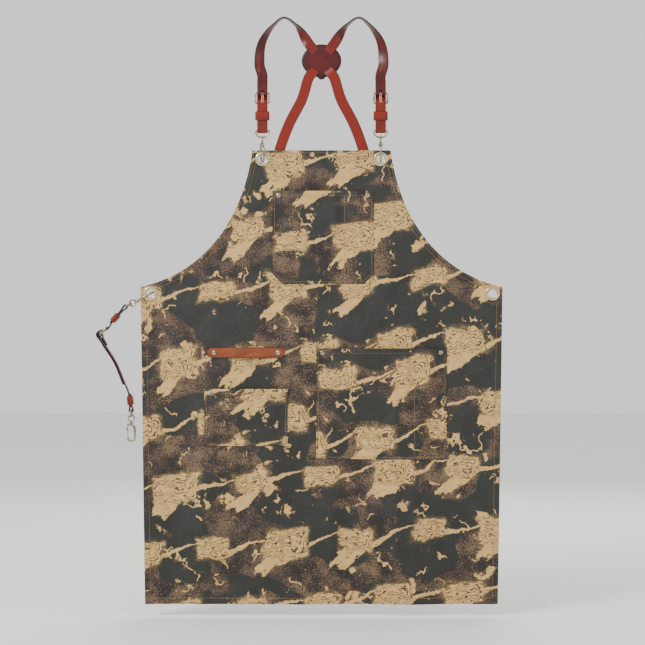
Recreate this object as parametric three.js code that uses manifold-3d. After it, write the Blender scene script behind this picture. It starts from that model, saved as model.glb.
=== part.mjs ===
// Butcher apron: canvas panel with three pouch pockets, leather harness and clip-on waist strap.
// Millimetres, +Z up, the front faces -Y. The origin lies on the hang line under the strap crowns.
import * as THREE from 'three';
import { mergeVertices } from 'three/addons/utils/BufferGeometryUtils.js';
import Module from 'manifold-3d';

const wasm = await Module();
wasm.setup();

// ---- driving dimensions -------------------------------------------------------------------
const gap = 0.3;               // left between pieces that touch
const foldEase = 0.3;          // how far a strap has opened where its turn about a bar starts
const foldStart = 8;           // bar to the start of that turn
const foldFlat = 15;           // bar to where the doubled strap lies flat

const panelHeight = 821;       // hem to the top of the bib
const bibHeight = 247;         // waist corners to the bib's top edge
const waistWidth = 655;
const hemWidth = 638;
const bibWidth = 250;
const panelThickness = 1.6;
const armholeDrop = 131;       // how far the armhole runs down from the bib corner before it turns
const armholeFlare = 18;       // and how far out it has gone by then
const armholeReach = 112;      // its flat stretch towards the waist corner
const armholeRise = 24;

const eyeletHole = 7.25;       // radius
const eyeletFlange = 13;       // radius
const eyeletWall = 0.9;
const eyeletDome = 1.2;        // height of the front flange
const washerThickness = 0.8;
const eyeletInset = 15.5;      // bib eyelets below the bib's top edge
const eyeletSpread = 107;      // bib eyelets either side of the middle
const waistEyeletDrop = 12;    // waist eyelets below the waist corners
const waistEyeletInset = 18;   // and in from the side

const pocketWall = 1.2;
const pouchDepth = 7;          // room inside a pouch
const pocketMargin = 16;       // sewn flat at each side of a pouch
const pocketHem = 9;           // sewn flat along the bottom
const pocketSeam = 2.4;        // a divider seam
const pocketRivetInset = 11;
const bibPocketDrop = 73.5;    // bib pocket's mouth below the bib's top edge
const toolPocketDrop = 111.5;  // below the waist corners
const towelPocketDrop = 184.5;

const rivetCap = 4.4;          // radius
const rivetPost = 1.5;         // radius
const rivetDome = 1.4;
const rivetBurr = 0.6;         // thickness of the flat cap behind the panel

const strapWidth = 19;
const strapThickness = 2.4;
const stripLength = 139;
const stripDrop = 119;         // waist corners down to the middle of the towel strip
const stripCentre = -136;
const stripBow = 9;            // how far the strip stands off for a towel
const stripRivetInset = 12;

const patchRadiusX = 36;
const patchRadiusZ = 30;
const patchThickness = 2.4;
const patchRise = 163;         // bib's top to the middle of the cross patch
const patchDepth = 8;          // behind the panel's middle plane
const patchSlotReach = 20;     // slots out from the patch's middle
const patchTab = 7;            // half width of the little tongue below the patch
const crownRise = 242;         // bib's top to the top of each shoulder crown
const crownSpread = 68;
const crownDepth = 8;
const hookThroughBib = 76;     // cross straps pass the bib's top edge this far out
const crossBendShare = 0.494;  // their bend behind the bib, as a share of the way up from the loops
const crossEndSpread = 120;    // and end this far out behind the skirt
const crossEndRise = 11;       // above the waist corners
const beltLoopHeight = 30;
const beltLoopRoom = 5;

const ringWire = 1.5;          // radius
const eyeWire = 1.5;           // radius, of a snap's swivel eye
const ringRadius = 12.5;       // of the D's bow, on the wire's middle
const buckleFar = 50;          // ring bar to the buckle's far bar
const buckleHeel = 68;         // ring bar to the buckle's heel bar
const buckleSideRoom = 1.2;
const prongWidth = 3.2;
const prongThickness = 1.6;
const doubledLength = 40;      // strap turned back on itself above the ring
const turnedEnd = 24;          // long strap turned back at the heel bar
const tailLength = 24;         // adjuster tail beyond the heel bar, on the bib
const keeperHeight = 16;
const keeperWall = 2.6;
const keeperSideRoom = 1;
const keeperStart = 19;        // ring bar to the keeper

const snapLength = 50;
const eyeInner = 4;            // radius of the swivel eye's hole
const stemRadius = 1.5;
const collarRadius = 4.2;
const collarLength = 6;
const hookWire = 2;            // radius
const hookRadius = 6.5;        // half the distance between the hook's legs
const hookLift = 0.5;          // hook above the lower edge of its eyelet
const gateWidth = 3.6;
const gateThickness = 1.8;
const bibHookTurn = 25;        // degrees, left bib hook about its stem

const waistSnapAngle = 208;    // degrees in the X-Z plane, eyelet to ring
const waistAdjusterAngle = 228;
const endRingOut = 16.5;       // bar at the waist strap's end, out from the waist corner
const endRingDrop = 223;       // and below it

// ---- worked out from them --------------------------------------------------------------------
const half = panelThickness / 2;
const layer = (strapThickness + gap) / 2;
const fold = ringWire + 2 * gap + strapThickness / 2;
const overFold = fold + strapThickness + gap;
const overLayers = layer + strapThickness + gap;
const postHole = rivetPost + gap;
const barrel = eyeletHole + eyeletWall;
const eyeOuter = eyeInner + 2 * eyeWire;
const ringToEyeTop = ringWire + 2 * eyeWire + gap;
const arcCentre = snapLength - hookWire - hookRadius;
const patchHeight = panelHeight + patchRise;
const crownHeight = panelHeight + crownRise;
const hangHeight = crownHeight - strapThickness;
const waistHeight = panelHeight - bibHeight;
const stripHeight = waistHeight - stripDrop;
const crossEndHeight = waistHeight + crossEndRise;
const bibEyeletHeight = panelHeight - eyeletInset;
const waistEyeletX = waistWidth / 2 - waistEyeletInset;
const waistEyeletHeight = waistHeight - waistEyeletDrop;
const hookToEyelet = eyeletHole - hookLift;
const snapToEyelet = snapLength - hookToEyelet;     // eye's top to the eyelet's middle
const ringLowest = snapToEyelet - ringToEyeTop;     // ring's bow to the eyelet's middle

// ---- materials ---------------------------------------------------------------------------------
const finish = (color, roughness, metalness) => new THREE.MeshStandardMaterial({
  color, roughness, metalness,
});
const canvas = finish(0x5b4a3c, 0.95, 0);
const tanLeather = finish(0xb98a5c, 0.6, 0);
const redLeather = finish(0xb93214, 0.38, 0);
const wineLeather = finish(0x6e1214, 0.38, 0);
const brass = finish(0xcdbb8a, 0.3, 1);
const nickel = finish(0xb9b4a6, 0.28, 1);

// ---- solids --------------------------------------------------------------------------------------
function toSolid(geometry) {
  const bare = (geometry.index ? geometry : geometry.clone()).clone();
  bare.deleteAttribute('normal');
  bare.deleteAttribute('uv');
  const merged = mergeVertices(bare, 1e-4);
  return new wasm.Manifold(new wasm.Mesh({
    numProp: 3,
    vertProperties: new Float32Array(merged.attributes.position.array),
    triVerts: new Uint32Array(merged.index.array),
  }));
}

function toGeometry(solid) {
  const mesh = solid.getMesh();
  const geometry = new THREE.BufferGeometry();
  geometry.setAttribute('position', new THREE.BufferAttribute(new Float32Array(mesh.vertProperties), 3));
  geometry.setIndex(new THREE.BufferAttribute(new Uint32Array(mesh.triVerts), 1));
  geometry.computeVertexNormals();
  return geometry;
}

const join = (...list) => toGeometry(list.map(toSolid).reduce((a, b) => a.add(b)));
const cut = (body, ...tools) => toGeometry(tools.map(toSolid).reduce((a, b) => a.subtract(b), toSolid(body)));
const common = (a, b) => toGeometry(toSolid(a).intersect(toSolid(b)));

function box(x, y, z, at = [0, 0, 0]) {
  return new THREE.BoxGeometry(x, y, z).translate(...at);
}

// A flat outline in the X-Z plane, solid from depth `from` to depth `to` along Y.
function plate(shape, from, to, curveSegments = 12) {
  const geometry = new THREE.ExtrudeGeometry(shape, { depth: to - from, bevelEnabled: false, curveSegments });
  return geometry.rotateX(Math.PI / 2).translate(0, to, 0);
}

// A turned piece about the Y axis: the profile is a list of [radius, depth].
function turned(profile, segments) {
  const points = profile.map(([radius, depth]) => new THREE.Vector2(radius, depth));
  return new THREE.LatheGeometry(points, segments);
}

function rodAlong(axis, radius, length, at, segments = 10) {
  const rod = new THREE.CylinderGeometry(radius, radius, length, segments);
  if (axis === 'x') rod.rotateZ(Math.PI / 2);
  if (axis === 'z') rod.rotateX(Math.PI / 2);
  return rod.translate(...at);
}

// A strap swept through its stations: each station is a place and the direction of the strap's width.
function ribbon(stations, width, thickness, stepsPerSpan = 4) {
  const places = new THREE.CatmullRomCurve3(stations.map((s) => s.at), false, 'centripetal');
  const sides = new THREE.CatmullRomCurve3(stations.map((s) => s.side), false, 'centripetal');
  const steps = (stations.length - 1) * stepsPerSpan;
  const geometry = new THREE.BoxGeometry(width, thickness, 1, 1, 1, steps);
  const position = geometry.attributes.position;
  for (let i = 0; i < position.count; i += 1) {
    const t = Math.min(1, Math.max(0, position.getZ(i) + 0.5));
    const centre = places.getPoint(t);
    const tangent = places.getTangent(t);
    const side = sides.getPoint(t);
    side.addScaledVector(tangent, -side.dot(tangent)).normalize();
    const normal = new THREE.Vector3().crossVectors(tangent, side);
    centre.addScaledVector(side, position.getX(i)).addScaledVector(normal, position.getY(i));
    position.setXYZ(i, centre.x, centre.y, centre.z);
  }
  return geometry;
}

// A round wire along a list of points.
function wire(points, radius, steps, sides = 8) {
  const section = new THREE.Shape();
  section.absarc(0, 0, radius, 0, Math.PI * 2, false);
  const path = new THREE.CatmullRomCurve3(points, false, 'centripetal');
  return new THREE.ExtrudeGeometry(section, {
    steps, curveSegments: sides / 2, extrudePath: path, bevelEnabled: false,
  });
}

const garment = new THREE.Group();
garment.position.set(0, -crownDepth, -hangHeight);

function piece(name, geometry, material, parent = garment) {
  const mesh = new THREE.Mesh(geometry, material);
  mesh.name = name;
  parent.add(mesh);
  return mesh;
}

// ---- canvas ----------------------------------------------------------------------------------------
const pockets = {
  bib: { left: -88.7, right: 94.6, top: panelHeight - bibPocketDrop, height: 168, chamfer: 18, seam: 41.5 },
  towel: {
    left: -212, right: -61.2, top: waistHeight - towelPocketDrop, height: 103, chamfer: 0, seam: null,
  },
  tool: { left: -9.4, right: 227, top: waistHeight - toolPocketDrop, height: 200, chamfer: 0, seam: 168.2 },
};

const pocketRivets = (p) => [p.left, p.right].map((edge, i) => [
  edge + (i === 0 ? pocketRivetInset : -pocketRivetInset), p.top - pocketRivetInset / 1.4]);
const stripRivets = [-1, 1].map((side) => [
  stripCentre + side * (stripLength / 2 - stripRivetInset), stripHeight]);
const eyelets = {
  bib_left: [-eyeletSpread, bibEyeletHeight],
  bib_right: [eyeletSpread, bibEyeletHeight],
  waist_left: [-waistEyeletX, waistEyeletHeight],
  waist_right: [waistEyeletX, waistEyeletHeight],
};

function circleHole([x, z], radius) {
  const hole = new THREE.Path();
  hole.absarc(x, z, radius, 0, Math.PI * 2, true);
  return hole;
}

function panelOutline() {
  const bib = bibWidth / 2;
  const waist = waistWidth / 2;
  const shape = new THREE.Shape();
  shape.moveTo(-hemWidth / 2, 0);
  shape.lineTo(hemWidth / 2, 0);
  shape.lineTo(waist, waistHeight);
  shape.bezierCurveTo(waist - armholeReach, waistHeight + armholeRise,
    bib + armholeFlare, panelHeight - armholeDrop, bib, panelHeight);
  shape.lineTo(-bib, panelHeight);
  shape.bezierCurveTo(-bib - armholeFlare, panelHeight - armholeDrop,
    -waist + armholeReach, waistHeight + armholeRise, -waist, waistHeight);
  shape.closePath();
  Object.values(eyelets).forEach((at) => shape.holes.push(circleHole(at, barrel + gap)));
  [...Object.values(pockets).flatMap(pocketRivets), ...stripRivets]
    .forEach((at) => shape.holes.push(circleHole(at, postHole)));
  return shape;
}

const panelFront = -half - gap;

function pocketOutline(p, inset = 0) {
  const bottom = p.top - p.height + inset;
  const left = p.left + inset;
  const right = p.right - inset;
  const chamfer = Math.max(p.chamfer - inset / 2, 0);
  const shape = new THREE.Shape();
  shape.moveTo(left, p.top);
  shape.lineTo(left, bottom + chamfer);
  shape.lineTo(left + chamfer, bottom);
  shape.lineTo(right - chamfer, bottom);
  shape.lineTo(right, bottom + chamfer);
  shape.lineTo(right, p.top);
  shape.closePath();
  return shape;
}

// A pouch is flat where it is sewn and stands off the panel over each compartment.
function pocket(p) {
  const left = p.left + pocketMargin;
  const right = p.right - pocketMargin;
  const bottom = p.top - p.height + pocketHem + (p.chamfer > 0 ? pocketMargin / 2 : 0);
  const flat = plate(pocketOutline(p), panelFront - pocketWall, panelFront);
  const lift = pouchDepth + pocketWall;
  const outer = box(right - left, lift, p.top - bottom,
    [(left + right) / 2, panelFront - lift / 2, (p.top + bottom) / 2]);
  const seam = p.seam === null ? [] : [p.seam - pocketSeam / 2, p.seam + pocketSeam / 2];
  const ends = [left, ...seam, right];
  const rooms = [];
  for (let i = 0; i < ends.length; i += 2) {
    const start = ends[i] + (i === 0 ? pocketWall : 0);
    const end = ends[i + 1] - (i === ends.length - 2 ? pocketWall : 0);
    const height = p.top - bottom;
    rooms.push(box(end - start, pouchDepth + 1, height,
      [(start + end) / 2, panelFront - (pouchDepth - 1) / 2, bottom + pocketWall + height / 2]));
  }
  const posts = pocketRivets(p)
    .map(([x, z]) => rodAlong('y', postHole, 4 * pocketWall, [x, panelFront, z], 12));
  return cut(join(flat, outer), ...rooms, ...posts);
}

// A tubular rivet: domed cap in front, post, and a flat burr behind the panel.
function rivet(front) {
  const back = half + gap;
  return turned([
    [0, -front - rivetDome], [rivetCap * 0.6, -front - rivetDome * 0.8], [rivetCap, -front - rivetDome * 0.2],
    [rivetCap, -front], [rivetPost, -front], [rivetPost, back], [rivetCap, back],
    [rivetCap, back + rivetBurr], [0, back + rivetBurr]], 12);
}

function eyelet() {
  const front = half + gap;
  const back = half + 2 * gap + washerThickness;
  return turned([
    [eyeletHole, -front - eyeletDome], [eyeletHole + 3, -front - eyeletDome], [eyeletFlange, -front - 0.3],
    [eyeletFlange, -front], [barrel, -front], [barrel, back], [barrel + 1.4, back], [barrel + 1, back + 0.6],
    [eyeletHole, back + 0.6], [eyeletHole, -front - eyeletDome]], 20);
}

function washer() {
  const from = half + gap;
  const to = from + washerThickness;
  const inner = barrel + gap;
  return turned([[inner, from], [eyeletFlange, from], [eyeletFlange, to], [inner, to], [inner, from]], 20);
}

piece('apron_panel', plate(panelOutline(), -half, half, 14), canvas);
Object.entries(pockets).forEach(([name, p]) => piece(`${name}_pocket`, pocket(p), canvas));
Object.entries(pockets).forEach(([name, p]) => pocketRivets(p).forEach(([x, z], i) => {
  const side = i === 0 ? 'left' : 'right';
  piece(`${name}_pocket_rivet_${side}`, rivet(half + gap + pocketWall + gap), nickel).position.set(x, 0, z);
}));
Object.entries(eyelets).forEach(([name, [x, z]]) => {
  piece(`${name}_eyelet`, eyelet(), brass).position.set(x, 0, z);
  piece(`${name}_eyelet_washer`, washer(), brass).position.set(x, 0, z);
});

// ---- towel strip --------------------------------------------------------------------------------------
const across = new THREE.Vector3(1, 0, 0);
const deep = new THREE.Vector3(0, 1, 0);
const up = new THREE.Vector3(0, 0, 1);

function towelStrip() {
  const flatY = panelFront - gap / 2 - strapThickness / 2;
  const reach = stripLength / 2;
  const bowStart = reach - 2 * stripRivetInset;
  const bowed = [-1, -0.75, -0.5, -0.25, 0, 0.25, 0.5, 0.75, 1]
    .map((share) => [share * bowStart, stripBow * (1 + Math.cos(Math.PI * share)) / 2]);
  const stations = [[-reach, 0], [-bowStart - 6, 0], ...bowed, [bowStart + 6, 0], [reach, 0]]
    .map(([x, bow]) => ({ at: new THREE.Vector3(stripCentre + x, flatY - bow, stripHeight), side: up }));
  const holes = stripRivets.map(([x, z]) => rodAlong('y', postHole, 6 * strapThickness, [x, flatY, z], 12));
  return cut(ribbon(stations, strapWidth, strapThickness), ...holes);
}

piece('towel_strip', towelStrip(), tanLeather);
stripRivets.forEach(([x, z], i) => {
  const front = half + 2 * gap + strapThickness;
  piece(`towel_strip_rivet_${i === 0 ? 'left' : 'right'}`, rivet(front), nickel).position.set(x, 0, z);
});

// ---- shoulder straps and cross patch --------------------------------------------------------------------
// A place in a strap's own frame: x across the width, y towards its hidden side, s along it.
class StrapFrame {
  constructor(origin, along, hidden) {
    this.origin = origin;
    this.along = along;
    this.hidden = hidden;
    this.across = new THREE.Vector3().crossVectors(hidden, along);
  }

  at(x, y, s) {
    return this.origin.clone().addScaledVector(this.across, x).addScaledVector(this.hidden, y)
      .addScaledVector(this.along, s);
  }

  group() {
    const basis = new THREE.Matrix4().makeBasis(this.across, this.hidden, this.along)
      .setPosition(this.origin);
    const group = new THREE.Group();
    group.applyMatrix4(basis);
    garment.add(group);
    return group;
  }
}

// A strap doubled about a bar, from one face to the other, opening towards +s. It lies flat beyond foldFlat.
function doubledAbout(bar, radius, from = 1) {
  const open = layer + foldEase;
  return [[from * layer, bar + foldFlat], [from * open, bar + foldStart], ...turnAbout(bar, radius, from),
    [-from * open, bar + foldStart], [-from * layer, bar + foldFlat]];
}

// The turn itself: half a round.
function turnAbout(bar, radius, from = 1) {
  return [0, 45, 90, 135, 180].map((degrees) => {
    const angle = THREE.MathUtils.degToRad(degrees);
    return [from * radius * Math.cos(angle), bar - radius * Math.sin(angle)];
  });
}

const bibRingHeight = bibEyeletHeight + ringLowest + ringRadius;
const bibFrame = (side) => new StrapFrame(new THREE.Vector3(side * eyeletSpread, 0, bibRingHeight), up, deep);
const patchOffset = patchThickness / 2 + gap + strapThickness / 2;
const passing = new THREE.Vector3(0.6, 0, -0.8);

function patchStations(side, under) {
  const along = new THREE.Vector3(-side * passing.x, 0, passing.z);
  const width = new THREE.Vector3(passing.z, 0, side * passing.x);
  const behind = patchOffset + under * (strapThickness + 2 * gap);
  return [
    [-38, -patchOffset], [-27, -patchOffset], [-patchSlotReach, 0], [-14, behind], [0, behind],
    [14, behind], [patchSlotReach, 0], [27, -patchOffset], [38, -patchOffset],
  ].map(([s, y]) => ({
    at: new THREE.Vector3(0, patchDepth + y, patchHeight).addScaledVector(along, s),
    side: width,
  }));
}

// From the turned end at the buckle, up over the crown, through the patch and down behind the bib.
function shoulderStations(side, under) {
  const frame = bibFrame(side);
  const start = [[layer, buckleHeel + turnedEnd], ...doubledAbout(buckleHeel, fold),
    [-layer, buckleHeel + turnedEnd + 8]]
    .map(([y, s]) => ({ at: frame.at(0, y, s), side: across }));
  const place = (x, y, z, width) => ({ at: new THREE.Vector3(side * x, y, z), side: width });
  const turning = (x, y, z) => new THREE.Vector3(x, y, z);
  const outerHalf = [
    place(eyeletSpread + 5, 1, panelHeight + 154, turning(1, -0.15 * side, 0)),
    place(eyeletSpread + 1, 4, crownHeight - 48, turning(0.8, -0.75 * side, 0)),
    place(crownSpread + 20, crownDepth, crownHeight - 16, turning(0.25, -side, 0)),
    place(crownSpread, crownDepth, crownHeight - strapThickness / 2, turning(0, -side, 0)),
    place(crownSpread - 21, crownDepth, crownHeight - 14, turning(-0.2, -side, 0)),
  ];
  const patch = patchStations(side, under);
  const farSide = -side;
  const behindBib = half + gap + rivetBurr + gap + strapThickness / 2;
  const loopTop = crossEndHeight + beltLoopHeight + 26;
  const crossBend = loopTop + crossBendShare * (panelHeight - loopTop);
  const lower = [
    [35, 5, panelHeight + 94], [58, 3.6, panelHeight + 49], [hookThroughBib, behindBib, panelHeight],
    [(hookThroughBib + crossEndSpread) / 2 - 2, behindBib, crossBend],
    [crossEndSpread, behindBib, loopTop],
  ].map(([x, y, z]) => ({ at: new THREE.Vector3(farSide * x, y, z), side: new THREE.Vector3() }));
  const loopBack = behindBib + strapThickness + beltLoopRoom;
  const loopMid = (behindBib + loopBack) / 2;
  const loopBend = loopMid - behindBib;
  const endLoop = [
    [behindBib, crossEndHeight + beltLoopHeight], [behindBib, crossEndHeight + loopBend],
    [loopMid - loopBend * 0.7, crossEndHeight + loopBend * 0.3], [loopMid, crossEndHeight],
    [loopMid + loopBend * 0.7, crossEndHeight + loopBend * 0.3], [loopBack, crossEndHeight + loopBend],
    [loopBack, crossEndHeight + beltLoopHeight - 6],
    [behindBib + strapThickness + gap, crossEndHeight + beltLoopHeight + 6],
    [behindBib + strapThickness + gap, crossEndHeight + beltLoopHeight + 24],
  ].map(([y, z]) => ({ at: new THREE.Vector3(farSide * crossEndSpread, y, z), side: new THREE.Vector3() }));
  return { start, outerHalf, patch, lower: [...lower, ...endLoop] };
}

// Width directions are carried on from the last station, so that the strap never flips over.
function carrySides(stations) {
  for (let i = 1; i < stations.length; i += 1) {
    const station = stations[i];
    if (station.side.lengthSq() === 0) station.side = stations[i - 1].side.clone();
    if (station.side.dot(stations[i - 1].side) < -0.2) station.side = station.side.clone().negate();
  }
  return stations;
}

function shoulderStrap(side, under, thickness = strapThickness, width = strapWidth) {
  const { start, outerHalf, patch, lower } = shoulderStations(side, under);
  lower.forEach((station) => station.side.copy(across));
  const stations = carrySides([...start, ...outerHalf, ...patch, ...lower]);
  return ribbon(stations, width, thickness, 3);
}

function prongSlot(frame, away) {
  const slot = box(prongWidth + 3 * gap, 14, 13);
  const basis = new THREE.Matrix4().makeBasis(frame.across, frame.hidden, frame.along)
    .setPosition(frame.at(0, 0, buckleHeel));
  return slot.translate(0, 0, away).applyMatrix4(basis);
}

function crossPatch(straps) {
  const shape = new THREE.Shape();
  shape.absellipse(0, patchHeight, patchRadiusX, patchRadiusZ, 0, Math.PI * 2, false, 0);
  const oval = plate(shape, -patchThickness / 2, patchThickness / 2, 20).translate(0, patchDepth, 0);
  const tab = box(2 * patchTab, patchThickness, 10, [0, patchDepth, patchHeight - patchRadiusZ]);
  return cut(join(oval, tab), ...straps);
}

const sides = { left: -1, right: 1 };
piece('cross_patch', crossPatch(Object.values(sides).map((side) => shoulderStrap(
  side, side > 0 ? 1 : 0, strapThickness + 2 * gap, strapWidth + 2 * gap))), wineLeather);
Object.entries(sides).forEach(([name, side]) => {
  const strap = shoulderStrap(side, side > 0 ? 1 : 0);
  piece(`shoulder_strap_${name}`, cut(strap, prongSlot(bibFrame(side), 0)), wineLeather);
});

// ---- rings, buckles, keepers and adjuster straps --------------------------------------------------
// A D ring about its bar: the bar runs along local X and the bow lies towards -Z.
function dRing() {
  const torus = new THREE.TorusGeometry(ringRadius, ringWire, 8, 20).rotateX(Math.PI / 2);
  const reach = 2 * (ringRadius + ringWire);
  const lower = common(torus, box(2 * reach, reach, reach, [0, 0, -reach / 2]));
  return join(lower, rodAlong('x', ringWire, 2 * (ringRadius + ringWire), [0, 0, 0], 8));
}

function buckleFrame() {
  const inner = strapWidth / 2 + buckleSideRoom;
  const outer = inner + 2 * ringWire;
  const shape = new THREE.Shape();
  shape.moveTo(-outer, buckleHeel);
  shape.lineTo(-outer, buckleFar);
  shape.lineTo(-outer + ringWire, buckleFar - ringWire);
  shape.lineTo(outer - ringWire, buckleFar - ringWire);
  shape.lineTo(outer, buckleFar);
  shape.lineTo(outer, buckleHeel);
  shape.lineTo(inner, buckleHeel);
  shape.lineTo(inner, buckleFar + ringWire);
  shape.lineTo(-inner, buckleFar + ringWire);
  shape.lineTo(-inner, buckleHeel);
  shape.closePath();
  return join(plate(shape, -ringWire, ringWire), rodAlong('x', ringWire, 2 * outer, [0, 0, buckleHeel], 8));
}

function prong(extra = 0) {
  const bend = ringWire + gap + prongThickness / 2;
  const hook = [-60, -15, 30, 75, 120].map((degrees) => {
    const angle = THREE.MathUtils.degToRad(degrees);
    return [-bend * Math.cos(angle), buckleHeel + bend * Math.sin(angle)];
  });
  const stations = [...hook, [bend, buckleHeel], [bend, buckleHeel - 6], [bend, buckleFar - ringWire]]
    .map(([y, s]) => ({ at: new THREE.Vector3(0, y, s), side: across }));
  return ribbon(stations, prongWidth + 2 * extra, prongThickness + 2 * extra, 2);
}

function keeper() {
  const innerX = strapWidth / 2 + keeperSideRoom;
  const innerY = layer + strapThickness / 2 + gap;
  const outer = box(2 * (innerX + keeperWall), 2 * (innerY + keeperWall), keeperHeight);
  return cut(outer, box(2 * innerX, 2 * innerY, 2 * keeperHeight));
}

// Turned about the ring's bar, doubled under the keeper, over the far bar, through the window,
// round the outside of the heel bar and on as a tail.
function adjusterStrap(frame, tail) {
  const over = ringWire + gap + strapThickness / 2;
  const window = buckleHeel - buckleFar;
  const stations = [
    [layer, doubledLength], [layer, 24], ...doubledAbout(0, fold), [-layer, 24], [-layer, doubledLength],
    [-over, buckleFar], [-over + 0.8, buckleFar + window * 0.2], [over - 0.3, buckleFar + window * 0.52],
    [overFold - 0.1, buckleFar + window * 0.82], [overFold, buckleHeel],
  ].map(([y, s]) => frame.at(0, y, s));
  const all = [...stations, ...tail].map((at) => ({ at, side: frame.across }));
  const slot = prong(gap).applyMatrix4(new THREE.Matrix4()
    .makeBasis(frame.across, frame.hidden, frame.along).setPosition(frame.origin));
  return cut(ribbon(all, strapWidth, strapThickness, 3), slot);
}

function adjusterSet(name, frame, ringFrame, tail) {
  const group = frame.group();
  piece(`${name}_ring`, dRing(), nickel, ringFrame.group());
  piece(`${name}_keeper`, keeper(), redLeather, group).position.z = keeperStart + keeperHeight / 2;
  piece(`${name}_buckle_frame`, buckleFrame(), nickel, group);
  piece(`${name}_buckle_prong`, prong(), nickel, group);
  piece(`${name}_adjuster_strap`, adjusterStrap(frame, tail), redLeather);
}

Object.entries(sides).forEach(([name, side]) => {
  const frame = bibFrame(side);
  const tail = [[overLayers + 0.5, buckleHeel + 9], [overLayers + 0.1, buckleHeel + tailLength]]
    .map(([y, s]) => frame.at(0, y, s));
  adjusterSet(`bib_${name}`, frame, frame, tail);
});

// ---- trigger snaps ----------------------------------------------------------------------------------
// Local frame: the eye's top is at z = 0 and the hook's bottom at z = -snapLength; the hook lies in X-Z.
const collarTop = -(2 * eyeOuter) - gap;
const collarBottom = collarTop - collarLength;

function swivelEye() {
  const torus = new THREE.TorusGeometry(eyeInner + eyeWire, eyeWire, 6, 16);
  torus.rotateX(Math.PI / 2).translate(0, 0, -eyeOuter);
  const top = -2 * eyeOuter + eyeWire;
  const neck = rodAlong('z', stemRadius, top - collarTop + 3, [0, 0, (top + collarTop - 3) / 2], 8);
  const head = rodAlong('z', stemRadius + 0.9, 1.8, [0, 0, collarTop - 3.4], 8);
  return join(torus, neck, head);
}

function snapHook() {
  const legTop = collarBottom + 1.5;
  const points = [new THREE.Vector3(0, 0, legTop), new THREE.Vector3(-hookRadius * 0.75, 0, legTop - 4),
    new THREE.Vector3(-hookRadius, 0, legTop - 9)];
  for (let degrees = 180; degrees <= 360; degrees += 30) {
    const angle = THREE.MathUtils.degToRad(degrees);
    points.push(new THREE.Vector3(hookRadius * Math.cos(angle), 0,
      -arcCentre + hookRadius * Math.sin(angle)));
  }
  points.push(new THREE.Vector3(hookRadius, 0, -arcCentre + 2.5));
  const hook = wire(points, hookWire, 18);
  const collar = rodAlong('z', collarRadius, collarLength, [0, 0, (collarTop + collarBottom) / 2], 12);
  const arm = box(hookRadius + 3, 5, 3.4, [hookRadius / 2 + 0.5, 0, collarBottom + 1.7]);
  const bore = rodAlong('z', stemRadius + gap, 6, [0, 0, collarTop], 8);
  const chamber = rodAlong('z', stemRadius + 0.9 + gap, 2.4, [0, 0, collarTop - 3.4], 8);
  return cut(join(collar, arm, hook), bore, chamber);
}

function snapGate() {
  const top = collarBottom - gap;
  const bottom = -arcCentre + 2.5 + gap;
  return box(gateThickness, gateWidth, top - bottom, [hookRadius, 0, (top + bottom) / 2]);
}

// `eyeTurn` and `hookTurn` are the headings of the eye's plane and of the hook's plane about the stem.
function snap(name, frame, eyeTurn, hookTurn) {
  const group = frame.group();
  const eyeMesh = piece(`${name}_snap_eye`, swivelEye(), nickel, group);
  eyeMesh.rotation.z = eyeTurn;
  const hook = new THREE.Group();
  hook.rotation.z = hookTurn;
  group.add(hook);
  piece(`${name}_snap_hook`, snapHook(), nickel, hook);
  piece(`${name}_snap_gate`, snapGate(), nickel, hook);
}

const quarter = Math.PI / 2;
Object.entries(sides).forEach(([name, side]) => {
  const top = new THREE.Vector3(side * eyeletSpread, 0, bibEyeletHeight + snapToEyelet);
  const turn = side < 0 ? THREE.MathUtils.degToRad(bibHookTurn) : 0;
  snap(`bib_${name}`, new StrapFrame(top, up, deep), quarter, quarter + turn);
});

// ---- waist strap ------------------------------------------------------------------------------------
const heading = (degrees) => {
  const angle = THREE.MathUtils.degToRad(degrees);
  return new THREE.Vector3(Math.cos(angle), 0, Math.sin(angle));
};
const waistEyelet = new THREE.Vector3(-waistEyeletX, 0, waistEyeletHeight);
const snapAlong = heading(waistSnapAngle);
const snapHidden = heading(waistSnapAngle - 90);
const waistSnapTop = waistEyelet.clone().addScaledVector(snapAlong, snapToEyelet);
snap('waist', new StrapFrame(waistSnapTop, snapAlong, snapHidden), quarter, 2 * quarter);

const adjusterAlong = heading(waistAdjusterAngle);
const adjusterHidden = heading(waistAdjusterAngle - 90);
const ringBar = waistEyelet.clone().addScaledVector(snapAlong, ringLowest + ringRadius);
const waistFrame = new StrapFrame(ringBar, adjusterAlong, adjusterHidden);

// The long waist strap leaves the heel bar down its own line and ends in a turn about the end ring.
const heel = waistFrame.at(0, 0, buckleHeel);
const endBar = new THREE.Vector3(-waistWidth / 2 - endRingOut, 0, waistHeight - endRingDrop);
const waistLine = new THREE.CatmullRomCurve3([
  heel, heel.clone().add(new THREE.Vector3(14, 0, -24)), heel.clone().add(new THREE.Vector3(30, 0, -50)),
  heel.clone().add(new THREE.Vector3(44, 0, -84)), endBar.clone().add(new THREE.Vector3(-3, 0, 30)), endBar,
], false, 'centripetal');

function besideLine(t, offset) {
  const tangent = waistLine.getTangent(t);
  const hidden = new THREE.Vector3(tangent.z, 0, -tangent.x);
  return waistLine.getPoint(t).addScaledVector(hidden, offset);
}

const lineFrame = (t, bar, back) => {
  const tangent = waistLine.getTangent(t).multiplyScalar(back ? -1 : 1);
  return new StrapFrame(bar, tangent, new THREE.Vector3(tangent.z, 0, -tangent.x));
};

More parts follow.
